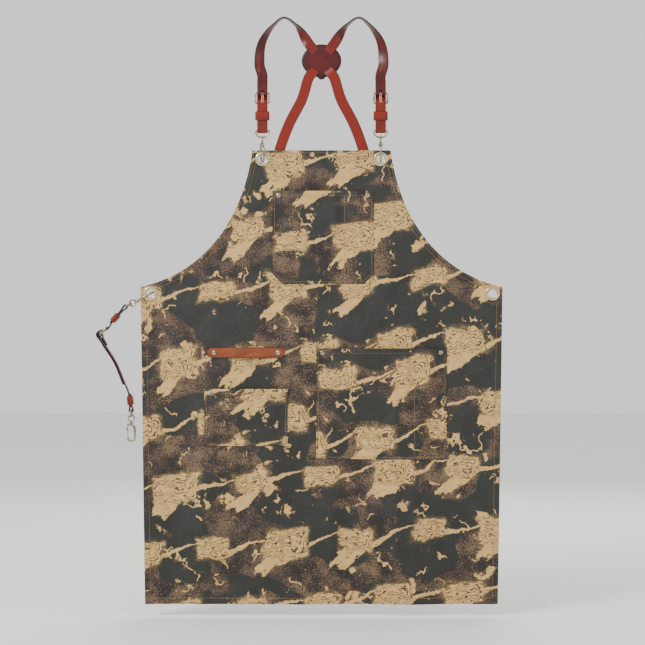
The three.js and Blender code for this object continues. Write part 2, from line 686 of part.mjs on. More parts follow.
function waistStrap() {
  const start = lineFrame(0, heel, false);
  const end = lineFrame(1, endBar, true);
  const head = [[-layer, turnedEnd - 2], ...doubledAbout(0, fold, -1)]
    .map(([y, s]) => start.at(0, y, s));
  const body = [0.2, 0.3, 0.4, 0.5, 0.6, 0.7, 0.8].map((t) => besideLine(t, layer));
  const foot = [...doubledAbout(0, fold, -1), [layer, 30]]
    .map(([y, s]) => end.at(0, y, s));
  const stations = [...head, ...body, ...foot].map((at) => ({ at, side: deep }));
  const slot = box(13, prongWidth + 3 * gap, 14, [heel.x, 0, heel.z]);
  return cut(ribbon(stations, strapWidth, strapThickness, 3), slot);
}

const waistTail = [
  ...[18, 36, 54, 72].map((turn) => heel.clone()
    .addScaledVector(heading(waistAdjusterAngle - 90 + turn), overFold + gap)),
  ...[0.1, 0.16, 0.24, 0.34, 0.44, 0.54, 0.64].map((t) => besideLine(t, overLayers + (t < 0.2 ? 0.8 : 0.1))),
];
adjusterSet('waist', waistFrame, new StrapFrame(ringBar, snapAlong, snapHidden), waistTail);
piece('waist_strap', waistStrap(), redLeather);

const endFrame = new StrapFrame(endBar, up, new THREE.Vector3(-1, 0, 0));
const endGroup = endFrame.group();
piece('waist_end_ring', dRing(), nickel, endGroup);
const endKeeper = piece('waist_end_keeper', keeper(), redLeather, lineFrame(1, endBar, true).group());
endKeeper.position.z = 10 + keeperHeight / 2;
const endSnapTop = endBar.clone().addScaledVector(up, -ringRadius + ringToEyeTop);
snap('waist_end', new StrapFrame(endSnapTop, up, new THREE.Vector3(-1, 0, 0)), quarter, quarter);

const apron = new THREE.Group();
apron.add(garment);
export default apron;
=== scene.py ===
"""Butcher apron: printed canvas, riveted pouch pockets, crossed leather harness and clip-on waist strap.

Every shape is worked out in millimetres from the hem's middle: x to the right of the front, y towards the
back, z up from the hem. `Datum` carries it into the frame. A piece is a `Shell`, a closed surface computed as
whole arrays.
"""

import logging
import math
from dataclasses import dataclass, field
from enum import Enum
from functools import partialmethod
from typing import Iterable, Sequence

import bpy
import numpy as np
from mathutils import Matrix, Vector


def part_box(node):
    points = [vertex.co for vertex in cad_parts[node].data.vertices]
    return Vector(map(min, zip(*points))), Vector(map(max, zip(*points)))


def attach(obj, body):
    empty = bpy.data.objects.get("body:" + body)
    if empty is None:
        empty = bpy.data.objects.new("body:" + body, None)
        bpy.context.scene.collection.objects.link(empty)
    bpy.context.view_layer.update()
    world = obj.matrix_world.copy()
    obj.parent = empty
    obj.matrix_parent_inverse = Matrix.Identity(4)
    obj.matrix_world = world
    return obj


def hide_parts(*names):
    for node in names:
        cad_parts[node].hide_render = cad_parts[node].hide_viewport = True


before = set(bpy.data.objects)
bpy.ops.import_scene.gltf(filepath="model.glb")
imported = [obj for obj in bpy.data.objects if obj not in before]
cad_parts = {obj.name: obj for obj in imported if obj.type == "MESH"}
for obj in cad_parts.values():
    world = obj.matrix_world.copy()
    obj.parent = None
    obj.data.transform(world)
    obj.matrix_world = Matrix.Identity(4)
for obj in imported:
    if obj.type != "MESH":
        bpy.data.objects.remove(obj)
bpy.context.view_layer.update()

LOG = logging.getLogger("apron")
Array = np.ndarray
TINY = 1e-6
SPAN_POINTS = 24
ACROSS = np.array([1.0, 0.0, 0.0])
DEEP = np.array([0.0, 1.0, 0.0])
UP = np.array([0.0, 0.0, 1.0])


# ---- shapes ------------------------------------------------------------------------------------------------


@dataclass(frozen=True)
class Datum:
    """Where the hem's middle lies in the frame, in metres."""

    origin: Array

    @classmethod
    def from_panel(cls) -> "Datum":
        """Take the datum from the box of the canvas panel."""
        low, high = (np.array(corner, float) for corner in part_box("apron_panel"))
        return cls(np.array([(low[0] + high[0]) / 2, (low[1] + high[1]) / 2, low[2]]))

    def metres(self, points: Array) -> Array:
        """Carry points in millimetres from the hem's middle into the frame."""
        return points / 1000 + self.origin


DATUM = Datum.from_panel()


@dataclass
class Shell:
    """A surface: points, faces of four and of more corners, and named values at each point."""

    points: Array
    quads: Array
    caps: list[list[int]] = field(default_factory=list)
    marks: dict[str, Array] = field(default_factory=dict)

    def joined(self, *others: "Shell") -> "Shell":
        """Put other shells beside this one, as one surface of several closed bodies."""
        parts = [self, *others]
        starts = np.cumsum([0] + [len(part.points) for part in parts])
        caps = [[int(i + start) for i in cap] for part, start in zip(parts, starts) for cap in part.caps]
        names = {name for part in parts for name in part.marks}
        marks = {name: np.concatenate([part.marks.get(name, np.zeros(len(part.points))) for part in parts])
                 for name in names}
        quads = np.concatenate([part.quads + start for part, start in zip(parts, starts)])
        return Shell(np.concatenate([part.points for part in parts]), quads, caps, marks)

    def outward(self) -> "Shell":
        """Turn the faces round if the solid that they close has a negative volume."""
        corners = self.points[self.quads]
        volume = np.einsum("ij,ij->", corners[:, 0], np.cross(corners[:, 1], corners[:, 2]))
        volume += np.einsum("ij,ij->", corners[:, 0], np.cross(corners[:, 2], corners[:, 3]))
        for cap in self.caps:
            fan = self.points[cap]
            volume += np.einsum("ij,ij->", np.tile(fan[0], (len(fan) - 2, 1)), np.cross(fan[1:-1], fan[2:]))
        if volume < 0:
            self.quads = self.quads[:, ::-1]
            self.caps = [cap[::-1] for cap in self.caps]
        return self

    def placed(self, place: "Place") -> "Shell":
        """Carry the shell from a place's own axes into the apron's."""
        axes = np.stack([place.across, place.hidden, place.along])
        return Shell(self.points @ axes + place.origin, self.quads, self.caps, self.marks)


@dataclass(frozen=True)
class Place:
    """A strap's own axes: x across its width, y towards its hidden side, z along it."""

    origin: Array
    along: Array
    hidden: Array

    @property
    def across(self) -> Array:
        """The third axis, across the strap."""
        return np.cross(self.hidden, self.along)

    def at(self, x: float, y: float, z: float) -> Array:
        """Give a point of these axes in the apron's own."""
        return self.origin + x * self.across + y * self.hidden + z * self.along

    def turned(self, degrees: float) -> "Place":
        """The same place with x and y turned about its z axis."""
        angle = math.radians(degrees)
        hidden = math.cos(angle) * self.hidden - math.sin(angle) * self.across
        return Place(self.origin, self.along, hidden)

    def shifted(self, z: float) -> "Place":
        """The same axes further along."""
        return Place(self.at(0, 0, z), self.along, self.hidden)


def heading(degrees: float) -> Array:
    """Give the direction at an angle from +x towards +z."""
    return np.array([math.cos(math.radians(degrees)), 0.0, math.sin(math.radians(degrees))])


def lattice(rows: int, columns: int, wrap_rows: bool = False, wrap_columns: bool = True) -> Array:
    """Give the four-cornered faces of a grid of rows by columns, closed on itself where asked."""
    i = np.arange(rows if wrap_rows else rows - 1)[:, None]
    j = np.arange(columns if wrap_columns else columns - 1)[None, :]
    corner = [((i + di) % rows) * columns + (j + dj) % columns for di, dj in ((0, 0), (0, 1), (1, 1), (1, 0))]
    return np.stack(corner, axis=-1).reshape(-1, 4)


def catmull_rom(stations: Array, where: Array) -> Array:
    """Give points of a centripetal Catmull-Rom curve through the stations.

    Each span is a cubic. Its end slopes come from its neighbours, weighted by the square root of their distances.

    Args:
        stations: points that the curve passes through.
        where: places along the curve, counted in spans from the first station.

    Returns:
        A point for each place.
    """
    p = np.vstack([2 * stations[0] - stations[1], stations, 2 * stations[-1] - stations[-2]])
    step = np.sqrt(np.maximum(np.linalg.norm(np.diff(p, axis=0), axis=1), TINY))[:, None]
    slope = np.diff(p, axis=0) / step
    chord = (p[2:] - p[:-2]) / (step[:-1] + step[1:])
    tangent = slope[:-1] - chord + slope[1:]
    span = np.minimum(where.astype(int), len(stations) - 2)
    t = (where - span)[:, None]
    a, b, size = p[1:-1][span], p[1:-1][span + 1], step[1:-1][span]
    leaving, arriving = tangent[span] * size, tangent[span + 1] * size
    return ((2 * t**3 - 3 * t**2 + 1) * a + (t**3 - 2 * t**2 + t) * leaving
            + (3 * t**2 - 2 * t**3) * b + (t**3 - t**2) * arriving)


def smooth_path(stations: Array, spacing: float = 2.0, widths: Array | None = None) -> Array:
    """Carry a smooth curve through the stations.

    Args:
        stations: points that the curve passes through.
        spacing: about how far apart the returned points lie.
        widths: a direction at each station, which is carried along in three more columns.

    Returns:
        Points along the curve, evenly spaced by length.
    """
    stations = np.asarray(stations, float)
    line = catmull_rom(stations, np.arange((len(stations) - 1) * SPAN_POINTS + 1) / SPAN_POINTS)
    if widths is not None:
        where = np.linspace(0, len(widths) - 1, len(line))
        line = np.hstack([line, unit(columns_at(where, np.arange(len(widths)), widths))])
    return even(line, spacing)


def columns_at(where: Array, places: Array, table: Array) -> Array:
    """Read each column of a table that is given at some places, at other places between them."""
    return np.stack([np.interp(where, places, column) for column in table.T], axis=1)


def even(points: Array, spacing: float) -> Array:
    """Space the points of a line evenly by length."""
    length = np.concatenate([[0], np.cumsum(np.linalg.norm(np.diff(points[:, :3], axis=0), axis=1))])
    count = max(int(round(length[-1] / spacing)) + 1, 3)
    return columns_at(np.linspace(0, length[-1], count), length, points)


def unit(vectors: Array) -> Array:
    """Scale each vector to length one."""
    return vectors / np.maximum(np.linalg.norm(vectors, axis=-1, keepdims=True), 1e-9)


def rounded_outline(width: float, height: float, radius: float, steps: int = 4, extra: int = 4) -> Array:
    """Give the closed outline of a rectangle with quarter-round corners and extra points on its long sides."""
    turn = np.linspace(0, math.pi / 2, steps)
    out = []
    for quarter, (sx, sy) in enumerate(((1, 1), (-1, 1), (-1, -1), (1, -1))):
        angle = turn + quarter * math.pi / 2
        middle = np.array([sx * (width / 2 - radius), sy * (height / 2 - radius)])
        out.append(middle + radius * np.stack([np.cos(angle), np.sin(angle)], axis=1))
        if quarter in (0, 2) and extra:
            share = np.linspace(1, -1, extra + 2)[1:-1] * (1 if quarter == 0 else -1)
            out.append(np.stack([share * (width / 2 - radius), np.full(extra, sy * height / 2)], axis=1))
    return np.concatenate(out)


def sweep(path: Array, side: Array, outline: Array, closed: bool = False,
          scale: Array | None = None) -> Shell:
    """Carry an outline along a path: a point is the path plus side times its x plus normal times its y.

    Args:
        path: points of the middle line.
        side: one direction, or one for each point, that the outline's x follows.
        outline: closed outline in two dimensions.
        closed: whether the path closes on itself.
        scale: size of the outline at each point of the path.

    Returns:
        A closed shell, with marks for the length along it and the place on the outline.
    """
    before, after = np.roll(path, 1, axis=0), np.roll(path, -1, axis=0)
    if not closed:
        before[0], after[-1] = path[0], path[-1]
    tangent = unit(after - before)
    side = np.broadcast_to(side, path.shape)
    side = unit(side - (side * tangent).sum(axis=1, keepdims=True) * tangent)
    normal = np.cross(tangent, side)
    scale = np.ones(len(path)) if scale is None else scale
    x, y = outline[None, :, 0, None] * scale[:, None, None], outline[None, :, 1, None] * scale[:, None, None]
    points = path[:, None] + side[:, None] * x + normal[:, None] * y
    rows, columns = len(path), len(outline)
    caps = [] if closed else [list(range(columns)), list(range((rows - 1) * columns, rows * columns))[::-1]]
    length = np.concatenate([[0], np.cumsum(np.linalg.norm(np.diff(path, axis=0), axis=1))])
    marks = {"along": np.repeat(length, columns), "aside": np.tile(outline[:, 0], rows)}
    return Shell(points.reshape(-1, 3), lattice(rows, columns, closed), caps, marks).outward()


def round_wire(path: Array, radius: float | Array, sides: int = 14, closed: bool = False,
               side: Array | None = None) -> Shell:
    """Carry a circle along a path."""
    angle = np.linspace(0, 2 * math.pi, sides, endpoint=False)
    circle = np.stack([np.cos(angle), np.sin(angle)], axis=1)
    radius = np.broadcast_to(np.asarray(radius, float), (len(path),))
    if side is None:
        spread = np.ptp(path, axis=0)
        side = np.eye(3)[int(np.argmin(spread))]
    return sweep(path, side, circle, closed, radius)


def turned(profile: Sequence[tuple[float, float]], segments: int = 48, axis: int = 1) -> Shell:
    """Turn a profile of radius and distance along an axis: each ring is a circle of that radius."""
    outline = np.asarray(profile, float)
    angle = np.linspace(0, 2 * math.pi, segments, endpoint=False)
    points = np.zeros((len(outline), segments, 3))
    first, second = [k for k in range(3) if k != axis]
    points[..., first] = outline[:, :1] * np.cos(angle)
    points[..., second] = outline[:, :1] * np.sin(angle)
    points[..., axis] = outline[:, 1:]
    rows = len(outline)
    loop = bool(np.allclose(outline[0], outline[-1]))
    if loop:
        points, rows = points[:-1], rows - 1
    caps = [] if loop else [list(range(segments))[::-1], list(range((rows - 1) * segments, rows * segments))]
    shell = Shell(points.reshape(-1, 3), lattice(rows, segments, loop), caps)
    return shell.outward()


def rounded_corners(corners: Array, radius: float, steps: int = 5) -> Array:
    """Round the corners of a closed line: each becomes a quadratic curve from edge to edge."""
    before, after = np.roll(corners, 1, axis=0), np.roll(corners, -1, axis=0)
    start = corners + unit(before - corners) * radius
    end = corners + unit(after - corners) * radius
    t = np.linspace(0, 1, steps)[None, :, None]
    curve = (1 - t) ** 2 * start[:, None] + 2 * t * (1 - t) * corners[:, None] + t**2 * end[:, None]
    return curve.reshape(-1, corners.shape[1])


# ---- finishes ----------------------------------------------------------------------------------------------


def linear(red: int, green: int, blue: int) -> tuple[float, float, float, float]:
    """Turn a colour in steps of 0 to 255 into the renderer's linear values."""
    share = np.array([red, green, blue]) / 255
    value = np.where(share <= 0.04045, share / 12.92, ((share + 0.055) / 1.055) ** 2.4)
    return (float(value[0]), float(value[1]), float(value[2]), 1.0)


class Graph:
    """Builds a material's nodes from short expressions. A value is a number or a node's output."""

    def __init__(self, name: str) -> None:
        self.material = bpy.data.materials.new(name)
        self.material.use_nodes = True
        self.nodes = self.material.node_tree.nodes
        self.links = self.material.node_tree.links
        self.surface = self.nodes["Principled BSDF"]

    def put(self, socket: bpy.types.NodeSocket, value: object) -> None:
        """Set a socket to a number or link a node's output to it."""
        if isinstance(value, bpy.types.NodeSocket):
            self.links.new(value, socket)
        elif value is not None:
            socket.default_value = value

    def math(self, operation: str, a: object, b: object = None, c: object = None) -> bpy.types.NodeSocket:
        """Put one step of arithmetic."""
        node = self.nodes.new("ShaderNodeMath")
        node.operation = operation
        for socket, value in zip(node.inputs, (a, b, c)):
            self.put(socket, value)
        return node.outputs[0]

    scale_add = partialmethod(math, "MULTIPLY_ADD")
    times = partialmethod(math, "MULTIPLY")
    plus = partialmethod(math, "ADD")
    less = partialmethod(math, "SUBTRACT")
    over = partialmethod(math, "DIVIDE")

    def most(self, first: object, *others: object) -> bpy.types.NodeSocket:
        """Give the largest of several values."""
        for other in others:
            first = self.math("MAXIMUM", first, other)
        return first

    def step(self, value: object, low: float, high: float) -> bpy.types.NodeSocket:
        """Rise smoothly from nought at low to one at high."""
        node = self.nodes.new("ShaderNodeMapRange")
        node.interpolation_type = "SMOOTHSTEP"
        for socket, item in zip(node.inputs, (value, low, high, 0.0, 1.0)):
            self.put(socket, item)
        return node.outputs[0]

    def mix(self, share: object, a: object, b: object) -> bpy.types.NodeSocket:
        """Blend two colours."""
        node = self.nodes.new("ShaderNodeMix")
        node.data_type = "RGBA"
        for index, value in ((0, share), (6, a), (7, b)):
            self.put(node.inputs[index], value)
        return node.outputs[2]

    def noise(self, place: object, scale: float, detail: float = 2.0, rough: float = 0.5,
              stretch: tuple[float, float, float] | None = None) -> bpy.types.NodeSocket:
        """Give a smooth random value about one half."""
        node = self.nodes.new("ShaderNodeTexNoise")
        self.put(node.inputs["Vector"], self.scaled(place, stretch) if stretch else place)
        node.inputs["Scale"].default_value = scale
        node.inputs["Detail"].default_value = detail
        node.inputs["Roughness"].default_value = rough
        return node.outputs["Fac"]

    def scaled(self, place: object, by: tuple[float, float, float]) -> bpy.types.NodeSocket:
        """Stretch a place along its axes."""
        node = self.nodes.new("ShaderNodeVectorMath")
        node.operation = "MULTIPLY"
        self.put(node.inputs[0], place)
        node.inputs[1].default_value = by
        return node.outputs[0]

    def flat(self) -> bpy.types.NodeSocket:
        """Give the piece's own flat coordinates, in metres."""
        node = self.nodes.new("ShaderNodeUVMap")
        node.uv_map = "flat"
        return node.outputs[0]

    def object_place(self) -> bpy.types.NodeSocket:
        """Give the place in the object, in metres."""
        return self.nodes.new("ShaderNodeTexCoord").outputs["Object"]

    def parts(self, place: object) -> tuple[bpy.types.NodeSocket, bpy.types.NodeSocket]:
        """Give a place's first two numbers."""
        node = self.nodes.new("ShaderNodeSeparateXYZ")
        self.put(node.inputs[0], place)
        return node.outputs[0], node.outputs[1]

    def point(self, x: object, y: object, z: object = 0.0) -> bpy.types.NodeSocket:
        """Make a place from numbers."""
        node = self.nodes.new("ShaderNodeCombineXYZ")
        for socket, value in zip(node.inputs, (x, y, z)):
            self.put(socket, value)
        return node.outputs[0]

    def bump(self, height: object, strength: float, distance: float,
             below: object = None) -> bpy.types.NodeSocket:
        """Give a surface direction tilted by a height."""
        node = self.nodes.new("ShaderNodeBump")
        node.inputs["Strength"].default_value = strength
        node.inputs["Distance"].default_value = distance
        self.put(node.inputs["Height"], height)
        self.put(node.inputs["Normal"], below)
        return node.outputs[0]

    def finish(self, **values: object) -> bpy.types.Material:
        """Set the surface's values by name, with spaces as underscores."""
        for name, value in values.items():
            self.put(self.surface.inputs[name.replace("_", " ")], value)
        return self.material


@dataclass(frozen=True)
class CanvasPrint:
    """Waxed cotton canvas with a woodland print: chains of barked tan patches over brown and charcoal."""

    chain_pitch: float = 0.115
    patch_pitch: float = 0.129
    chain_rise: float = 0.077
    stagger: float = 0.5
    patch_width: float = 0.029
    patch_height: float = 0.0185

    def box(self, g: Graph, along: object, off: object, half: tuple[object, object],
            middle: tuple[float, float] = (0.0, 0.0)) -> bpy.types.NodeSocket:
        """Give the distance outside a rounded box about a place, in metres, less than nought inside it."""
        x = g.less(g.math("ABSOLUTE", g.less(along, middle[0])), half[0])
        z = g.less(g.math("ABSOLUTE", g.less(off, middle[1])), half[1])
        return g.math("SMOOTH_MAX", x, z, 0.012)

    def contour(self, g: Graph, value: object, wide: float = 0.15) -> bpy.types.NodeSocket:
        """Draw a thin line wherever a value passes a whole number."""
        return g.step(g.math("ABSOLUTE", g.less(g.math("FRACT", value), 0.5)), wide + 0.07, wide)

    def make(self, name: str) -> bpy.types.Material:
        """Build the print.

        A place is first shifted by slow noise, then told as a chain's number and the distances along and off it.
        Of every three patches on a chain one is large and two have a brushed tail. A patch is a rounded box,
        broken at its edge by fine noise. Contours nest in its right half and run as waves in its left half. A
        strand that thins as it rises joins each patch to the next.
        """
        g = Graph(name)
        flat = g.flat()
        x, z = g.parts(flat)
        slow = g.less(g.noise(flat, 8.0, 3.0), 0.5)
        slow_too = g.less(g.noise(g.point(z, x, 0.37), 8.0, 3.0), 0.5)
        wx = g.scale_add(slow, 0.060, x)
        wz = g.scale_add(slow_too, 0.056, z)
        chain = g.over(g.scale_add(wx, -self.chain_rise, wz), self.chain_pitch)
        row = g.math("ROUND", chain)
        off = g.times(g.less(chain, row), self.chain_pitch)
        run = g.over(g.scale_add(row, self.stagger * self.patch_pitch, wx), self.patch_pitch)
        count = g.math("ROUND", run)
        along = g.times(g.less(run, count), self.patch_pitch)
        kind = g.math("FLOORED_MODULO", g.plus(count, row), 3.0)
        large = g.math("COMPARE", kind, 1.0, 0.3)
        tailed = g.math("GREATER_THAN", kind, 0.5)
        fine = g.noise(flat, 260.0, 3.0, 0.65)
        grit = g.noise(flat, 1000.0, 2.0, 0.7)
        ragged = g.scale_add(g.noise(flat, 52.0, 6.0, 0.66), 0.044, -0.022)
        streak = g.scale_add(g.noise(g.point(wx, wz, 1.3), 150.0, 3.0, 0.6, (0.22, 1.0, 1.0)), 0.030, -0.015)

        half = (g.scale_add(large, 0.006, self.patch_width),
                g.scale_add(large, 0.005, self.patch_height))
        core = self.box(g, along, off, half)
        edge = g.plus(core, g.scale_add(ragged, 0.55, g.times(fine, 0.006)))
        patch = g.step(edge, 0.0042, 0.0030)
        down = g.scale_add(off, 0.66, g.times(along, 0.75))
        aside = g.scale_add(off, 0.75, g.times(along, -0.66))
        brush = g.noise(g.point(down, aside, 1.3), 120.0, 3.0, 0.6, (0.16, 1.0, 1.0))
        tail = self.box(g, down, aside, (0.028, 0.013), (-0.034, -0.010))
        tail = g.plus(g.plus(tail, ragged), g.scale_add(brush, 0.044, -0.022))
        tail = g.times(g.step(g.scale_add(grit, 0.008, tail), 0.0045, 0.0025), tailed)
        smear = g.noise(g.point(wx, wz, 5.5), 17.0, 4.0, 0.55, (1.0, 0.8, 1.0))
        smear = g.step(g.scale_add(grit, 0.10, g.scale_add(streak, 2.2, smear)), 0.700, 0.715)
        gap = g.math("FRACT", run)
        strand = g.less(off, g.scale_add(gap, 0.034, -0.014))
        strand = g.math("ABSOLUTE", g.scale_add(ragged, 0.32, strand))
        strand = g.scale_add(gap, 0.0072, g.scale_add(fine, 0.005, strand))
        strand = g.step(strand, 0.0094, 0.0084)
        curl_value = g.noise(g.point(z, x, 4.1), 26.0, 3.0, 0.5)
        curl = g.step(g.math("ABSOLUTE", g.less(curl_value, 0.5)), 0.024, 0.012)
        curl = g.times(curl, g.step(g.scale_add(fine, 0.2, g.noise(flat, 19.0, 2.0)), 0.66, 0.69))
        tan = g.most(patch, strand, tail, smear, curl)
        dry = g.step(g.plus(g.times(edge, 34.0), g.times(grit, 1.3)), 0.86, 0.74)
        tan = g.most(tan, g.times(dry, 0.5))

        wander = g.noise(flat, 62.0, 3.0, 0.55)
        nested = g.scale_add(wander, 5.0, g.over(core, 0.0056))
        waves = g.scale_add(wander, 6.0, g.over(g.scale_add(along, -0.16, off), 0.0060))
        right = g.step(along, -0.014, 0.002)
        nest_lines = g.times(self.contour(g, nested, 0.14), right)
        wave_lines = g.times(self.contour(g, waves, 0.12), g.less(1.0, right))
        lines = g.most(nest_lines, wave_lines)
        lines = g.times(lines, g.step(g.noise(flat, 90.0, 2.0), 0.34, 0.50))
        lines = g.times(lines, g.step(core, 0.008, -0.002))
        fleck = g.step(g.noise(flat, 170.0, 4.0, 0.65, (0.3, 1.0, 1.0)), 0.60, 0.64)
        lines = g.most(lines, g.times(fleck, 0.7))

        blob_noise = g.noise(g.point(wx, wz, 7.7), 12.5, 2.0, 0.40, (0.75, 1.0, 1.0))
        blob = g.step(g.scale_add(grit, 0.035, blob_noise), 0.505, 0.535)
        cloud = g.noise(flat, 24.0, 4.0, 0.6)
        speckle = g.step(g.scale_add(cloud, 0.9, g.times(g.noise(flat, 360.0, 2.0, 0.7), 1.05)),
                         0.95, 1.12)
        brown = g.mix(g.step(cloud, 0.36, 0.62), linear(24, 18, 16), linear(44, 32, 27))
        brown = g.mix(g.times(speckle, 0.55), brown, linear(138, 110, 78))
        purple = g.step(g.noise(flat, 6.0, 1.0), 0.45, 0.62)
        brown = g.mix(g.times(purple, 0.25), brown, linear(44, 34, 33))
        charcoal = g.mix(g.step(g.noise(flat, 700.0, 2.0), 0.5, 0.75), linear(27, 29, 25), linear(50, 50, 44))
        ground = g.mix(blob, brown, charcoal)
        tan_tone = g.mix(g.noise(flat, 60.0, 3.0), linear(172, 134, 74), linear(212, 176, 112))
        color = g.mix(tan, ground, tan_tone)
        color = g.mix(g.times(lines, 0.92), color, linear(38, 25, 17))

        warp = g.math("SINE", g.times(x, 2 * math.pi / 0.00115))
        weft = g.math("SINE", g.times(z, 2 * math.pi / 0.00115))
        weave = g.times(warp, weft)
        slub = g.noise(flat, 420.0, 2.0, 0.6, (0.3, 1.6, 1.0))
        color = g.mix(g.times(g.step(slub, 0.55, 0.8), 0.10), color, linear(150, 128, 104))
        crease = g.bump(g.noise(flat, 17.0, 4.0, 0.55), 0.40, 0.012)
        normal = g.bump(g.scale_add(slub, 1.2, weave), 0.28, 0.0004, crease)
        sheen = g.step(g.noise(flat, 26.0, 3.0), 0.3, 0.75)
        rough = g.scale_add(sheen, -0.18, 0.66)
        return g.finish(Base_Color=color, Roughness=rough, Normal=normal, Specular_IOR_Level=0.40)


@dataclass(frozen=True)
class Leather:
    """Strap leather with burnished edges, a soft gloss and pores, by coordinates along and across the strap."""

    face: tuple[int, int, int]
    shade: tuple[int, int, int]
    edge: tuple[int, int, int]
    half_width: float = 0.0095
    rough: float = 0.36
    ribs: float = 0.0
    far_face: tuple[int, int, int] | None = None
    far_from: float = 0.22

    def make(self, name: str) -> bpy.types.Material:
        """Build the leather: slow patches of shade, darker towards both edges, with pores and pull lines."""
        g = Graph(name)
        flat = g.flat()
        along, aside = g.parts(flat)
        mottled = g.noise(flat, 55.0, 4.0, 0.6, (0.45, 1.0, 1.0))
        color = g.mix(g.step(mottled, 0.35, 0.7), linear(*self.face), linear(*self.shade))
        if self.far_face:
            color = g.mix(g.step(along, self.far_from, self.far_from + 0.05), color,
                          g.mix(mottled, linear(*self.face), linear(*self.far_face)))
            turned_far = g.step(along, self.far_from + 0.02, self.far_from + 0.09)
            color = g.mix(turned_far, color, linear(*self.far_face))
        reach = g.over(g.math("ABSOLUTE", aside), self.half_width)
        wobble = g.scale_add(g.noise(flat, 160.0, 2.0), 0.14, -0.07)
        rim = g.step(g.plus(reach, wobble), 0.80, 0.97)
        color = g.mix(g.times(rim, 0.9), color, linear(*self.edge))
        pores = g.noise(flat, 1500.0, 2.0, 0.6)
        grain = g.noise(flat, 420.0, 3.0, 0.6)
        scuff = g.step(g.noise(flat, 90.0, 5.0, 0.7, (0.2, 1.0, 1.0)), 0.60, 0.72)
        color = g.mix(g.times(scuff, 0.13), color, linear(226, 168, 128))
        height = g.scale_add(grain, 0.7, g.times(pores, 0.3))
        normal = g.bump(height, 0.30, 0.0005)
        if self.ribs:
            rib = g.math("SINE", g.times(aside, 2 * math.pi / self.ribs))
            normal = g.bump(g.step(rib, 0.2, 0.9), 0.8, 0.0004, normal)
            color = g.mix(g.times(g.step(rib, 0.2, 0.9), 0.35), color, linear(*self.edge))
        rough = g.scale_add(mottled, 0.22, self.rough - 0.11)
        return g.finish(Base_Color=color, Roughness=rough, Normal=normal, Coat_Weight=0.14, Coat_Roughness=0.26,
                        Specular_IOR_Level=0.30)


@dataclass(frozen=True)
class Metal:
    """Plated metal, duller and darker in soft patches, with fine marks of handling."""

    bright: tuple[int, int, int]
    dull: tuple[int, int, int]
    rough: float = 0.24

    def make(self, name: str) -> bpy.types.Material:
        """Build the metal from two noises: slow tarnish and fine scratches."""
        g = Graph(name)
        place = g.object_place()
        tarnish = g.step(g.noise(place, 140.0, 4.0, 0.6), 0.40, 0.72)
        color = g.mix(tarnish, linear(*self.bright), linear(*self.dull))
        marks = g.noise(place, 900.0, 3.0, 0.7, (1.0, 1.0, 0.3))
        rough = g.scale_add(tarnish, 0.16, self.rough)
        normal = g.bump(marks, 0.10, 0.0003)
        return g.finish(Base_Color=color, Metallic=1.0, Roughness=rough, Normal=normal)


@dataclass(frozen=True)
class Thread:
    """Waxed sewing thread with a fine twist."""

    color: tuple[int, int, int]

    def make(self, name: str) -> bpy.types.Material:
        """Build the thread from a fine noise for its fibres."""
        g = Graph(name)
        fibre = g.noise(g.object_place(), 2600.0, 2.0)
        dark = tuple(int(0.72 * value) for value in self.color)
        color = g.mix(g.step(fibre, 0.35, 0.75), linear(*self.color), linear(*dark))
        return g.finish(Base_Color=color, Roughness=0.62, Normal=g.bump(fibre, 0.25, 0.0002))


class Finish(Enum):
    """The materials, each with the slot that it stands for."""

    CANVAS = ("canvas", CanvasPrint())
    TAN = ("tan_leather", Leather((128, 62, 26), (104, 46, 17), (46, 20, 10), rough=0.46))
    RED = ("red_leather", Leather((116, 25, 4), (92, 16, 3), (16, 5, 3)))
    RED_KEEPER = ("red_leather", Leather((128, 32, 5), (98, 18, 3), (16, 5, 3), 0.009, ribs=0.0031))
    WINE = ("wine_leather", Leather((84, 8, 9), (60, 6, 9), (18, 4, 5), far_face=(114, 23, 4)))
    WINE_PATCH = ("wine_leather", Leather((84, 10, 12), (58, 6, 9), (18, 4, 5), 0.034))
    BRASS = ("brass", Metal((214, 196, 150), (170, 148, 102), 0.20))
    NICKEL = ("nickel", Metal((172, 160, 136), (78, 70, 56), 0.20))
    THREAD = ("canvas", Thread((160, 126, 82)))

    @property
    def slot(self) -> str:
        """The slot of the parts' record."""
        return self.value[0]

    def material(self) -> bpy.types.Material:
        """Give the material, made when it is first asked for."""
        name = f"finish_{self.name.lower()}"
        return bpy.data.materials.get(name) or self.value[1].make(name)


# ---- putting pieces in the scene ---------------------------------------------------------------------------


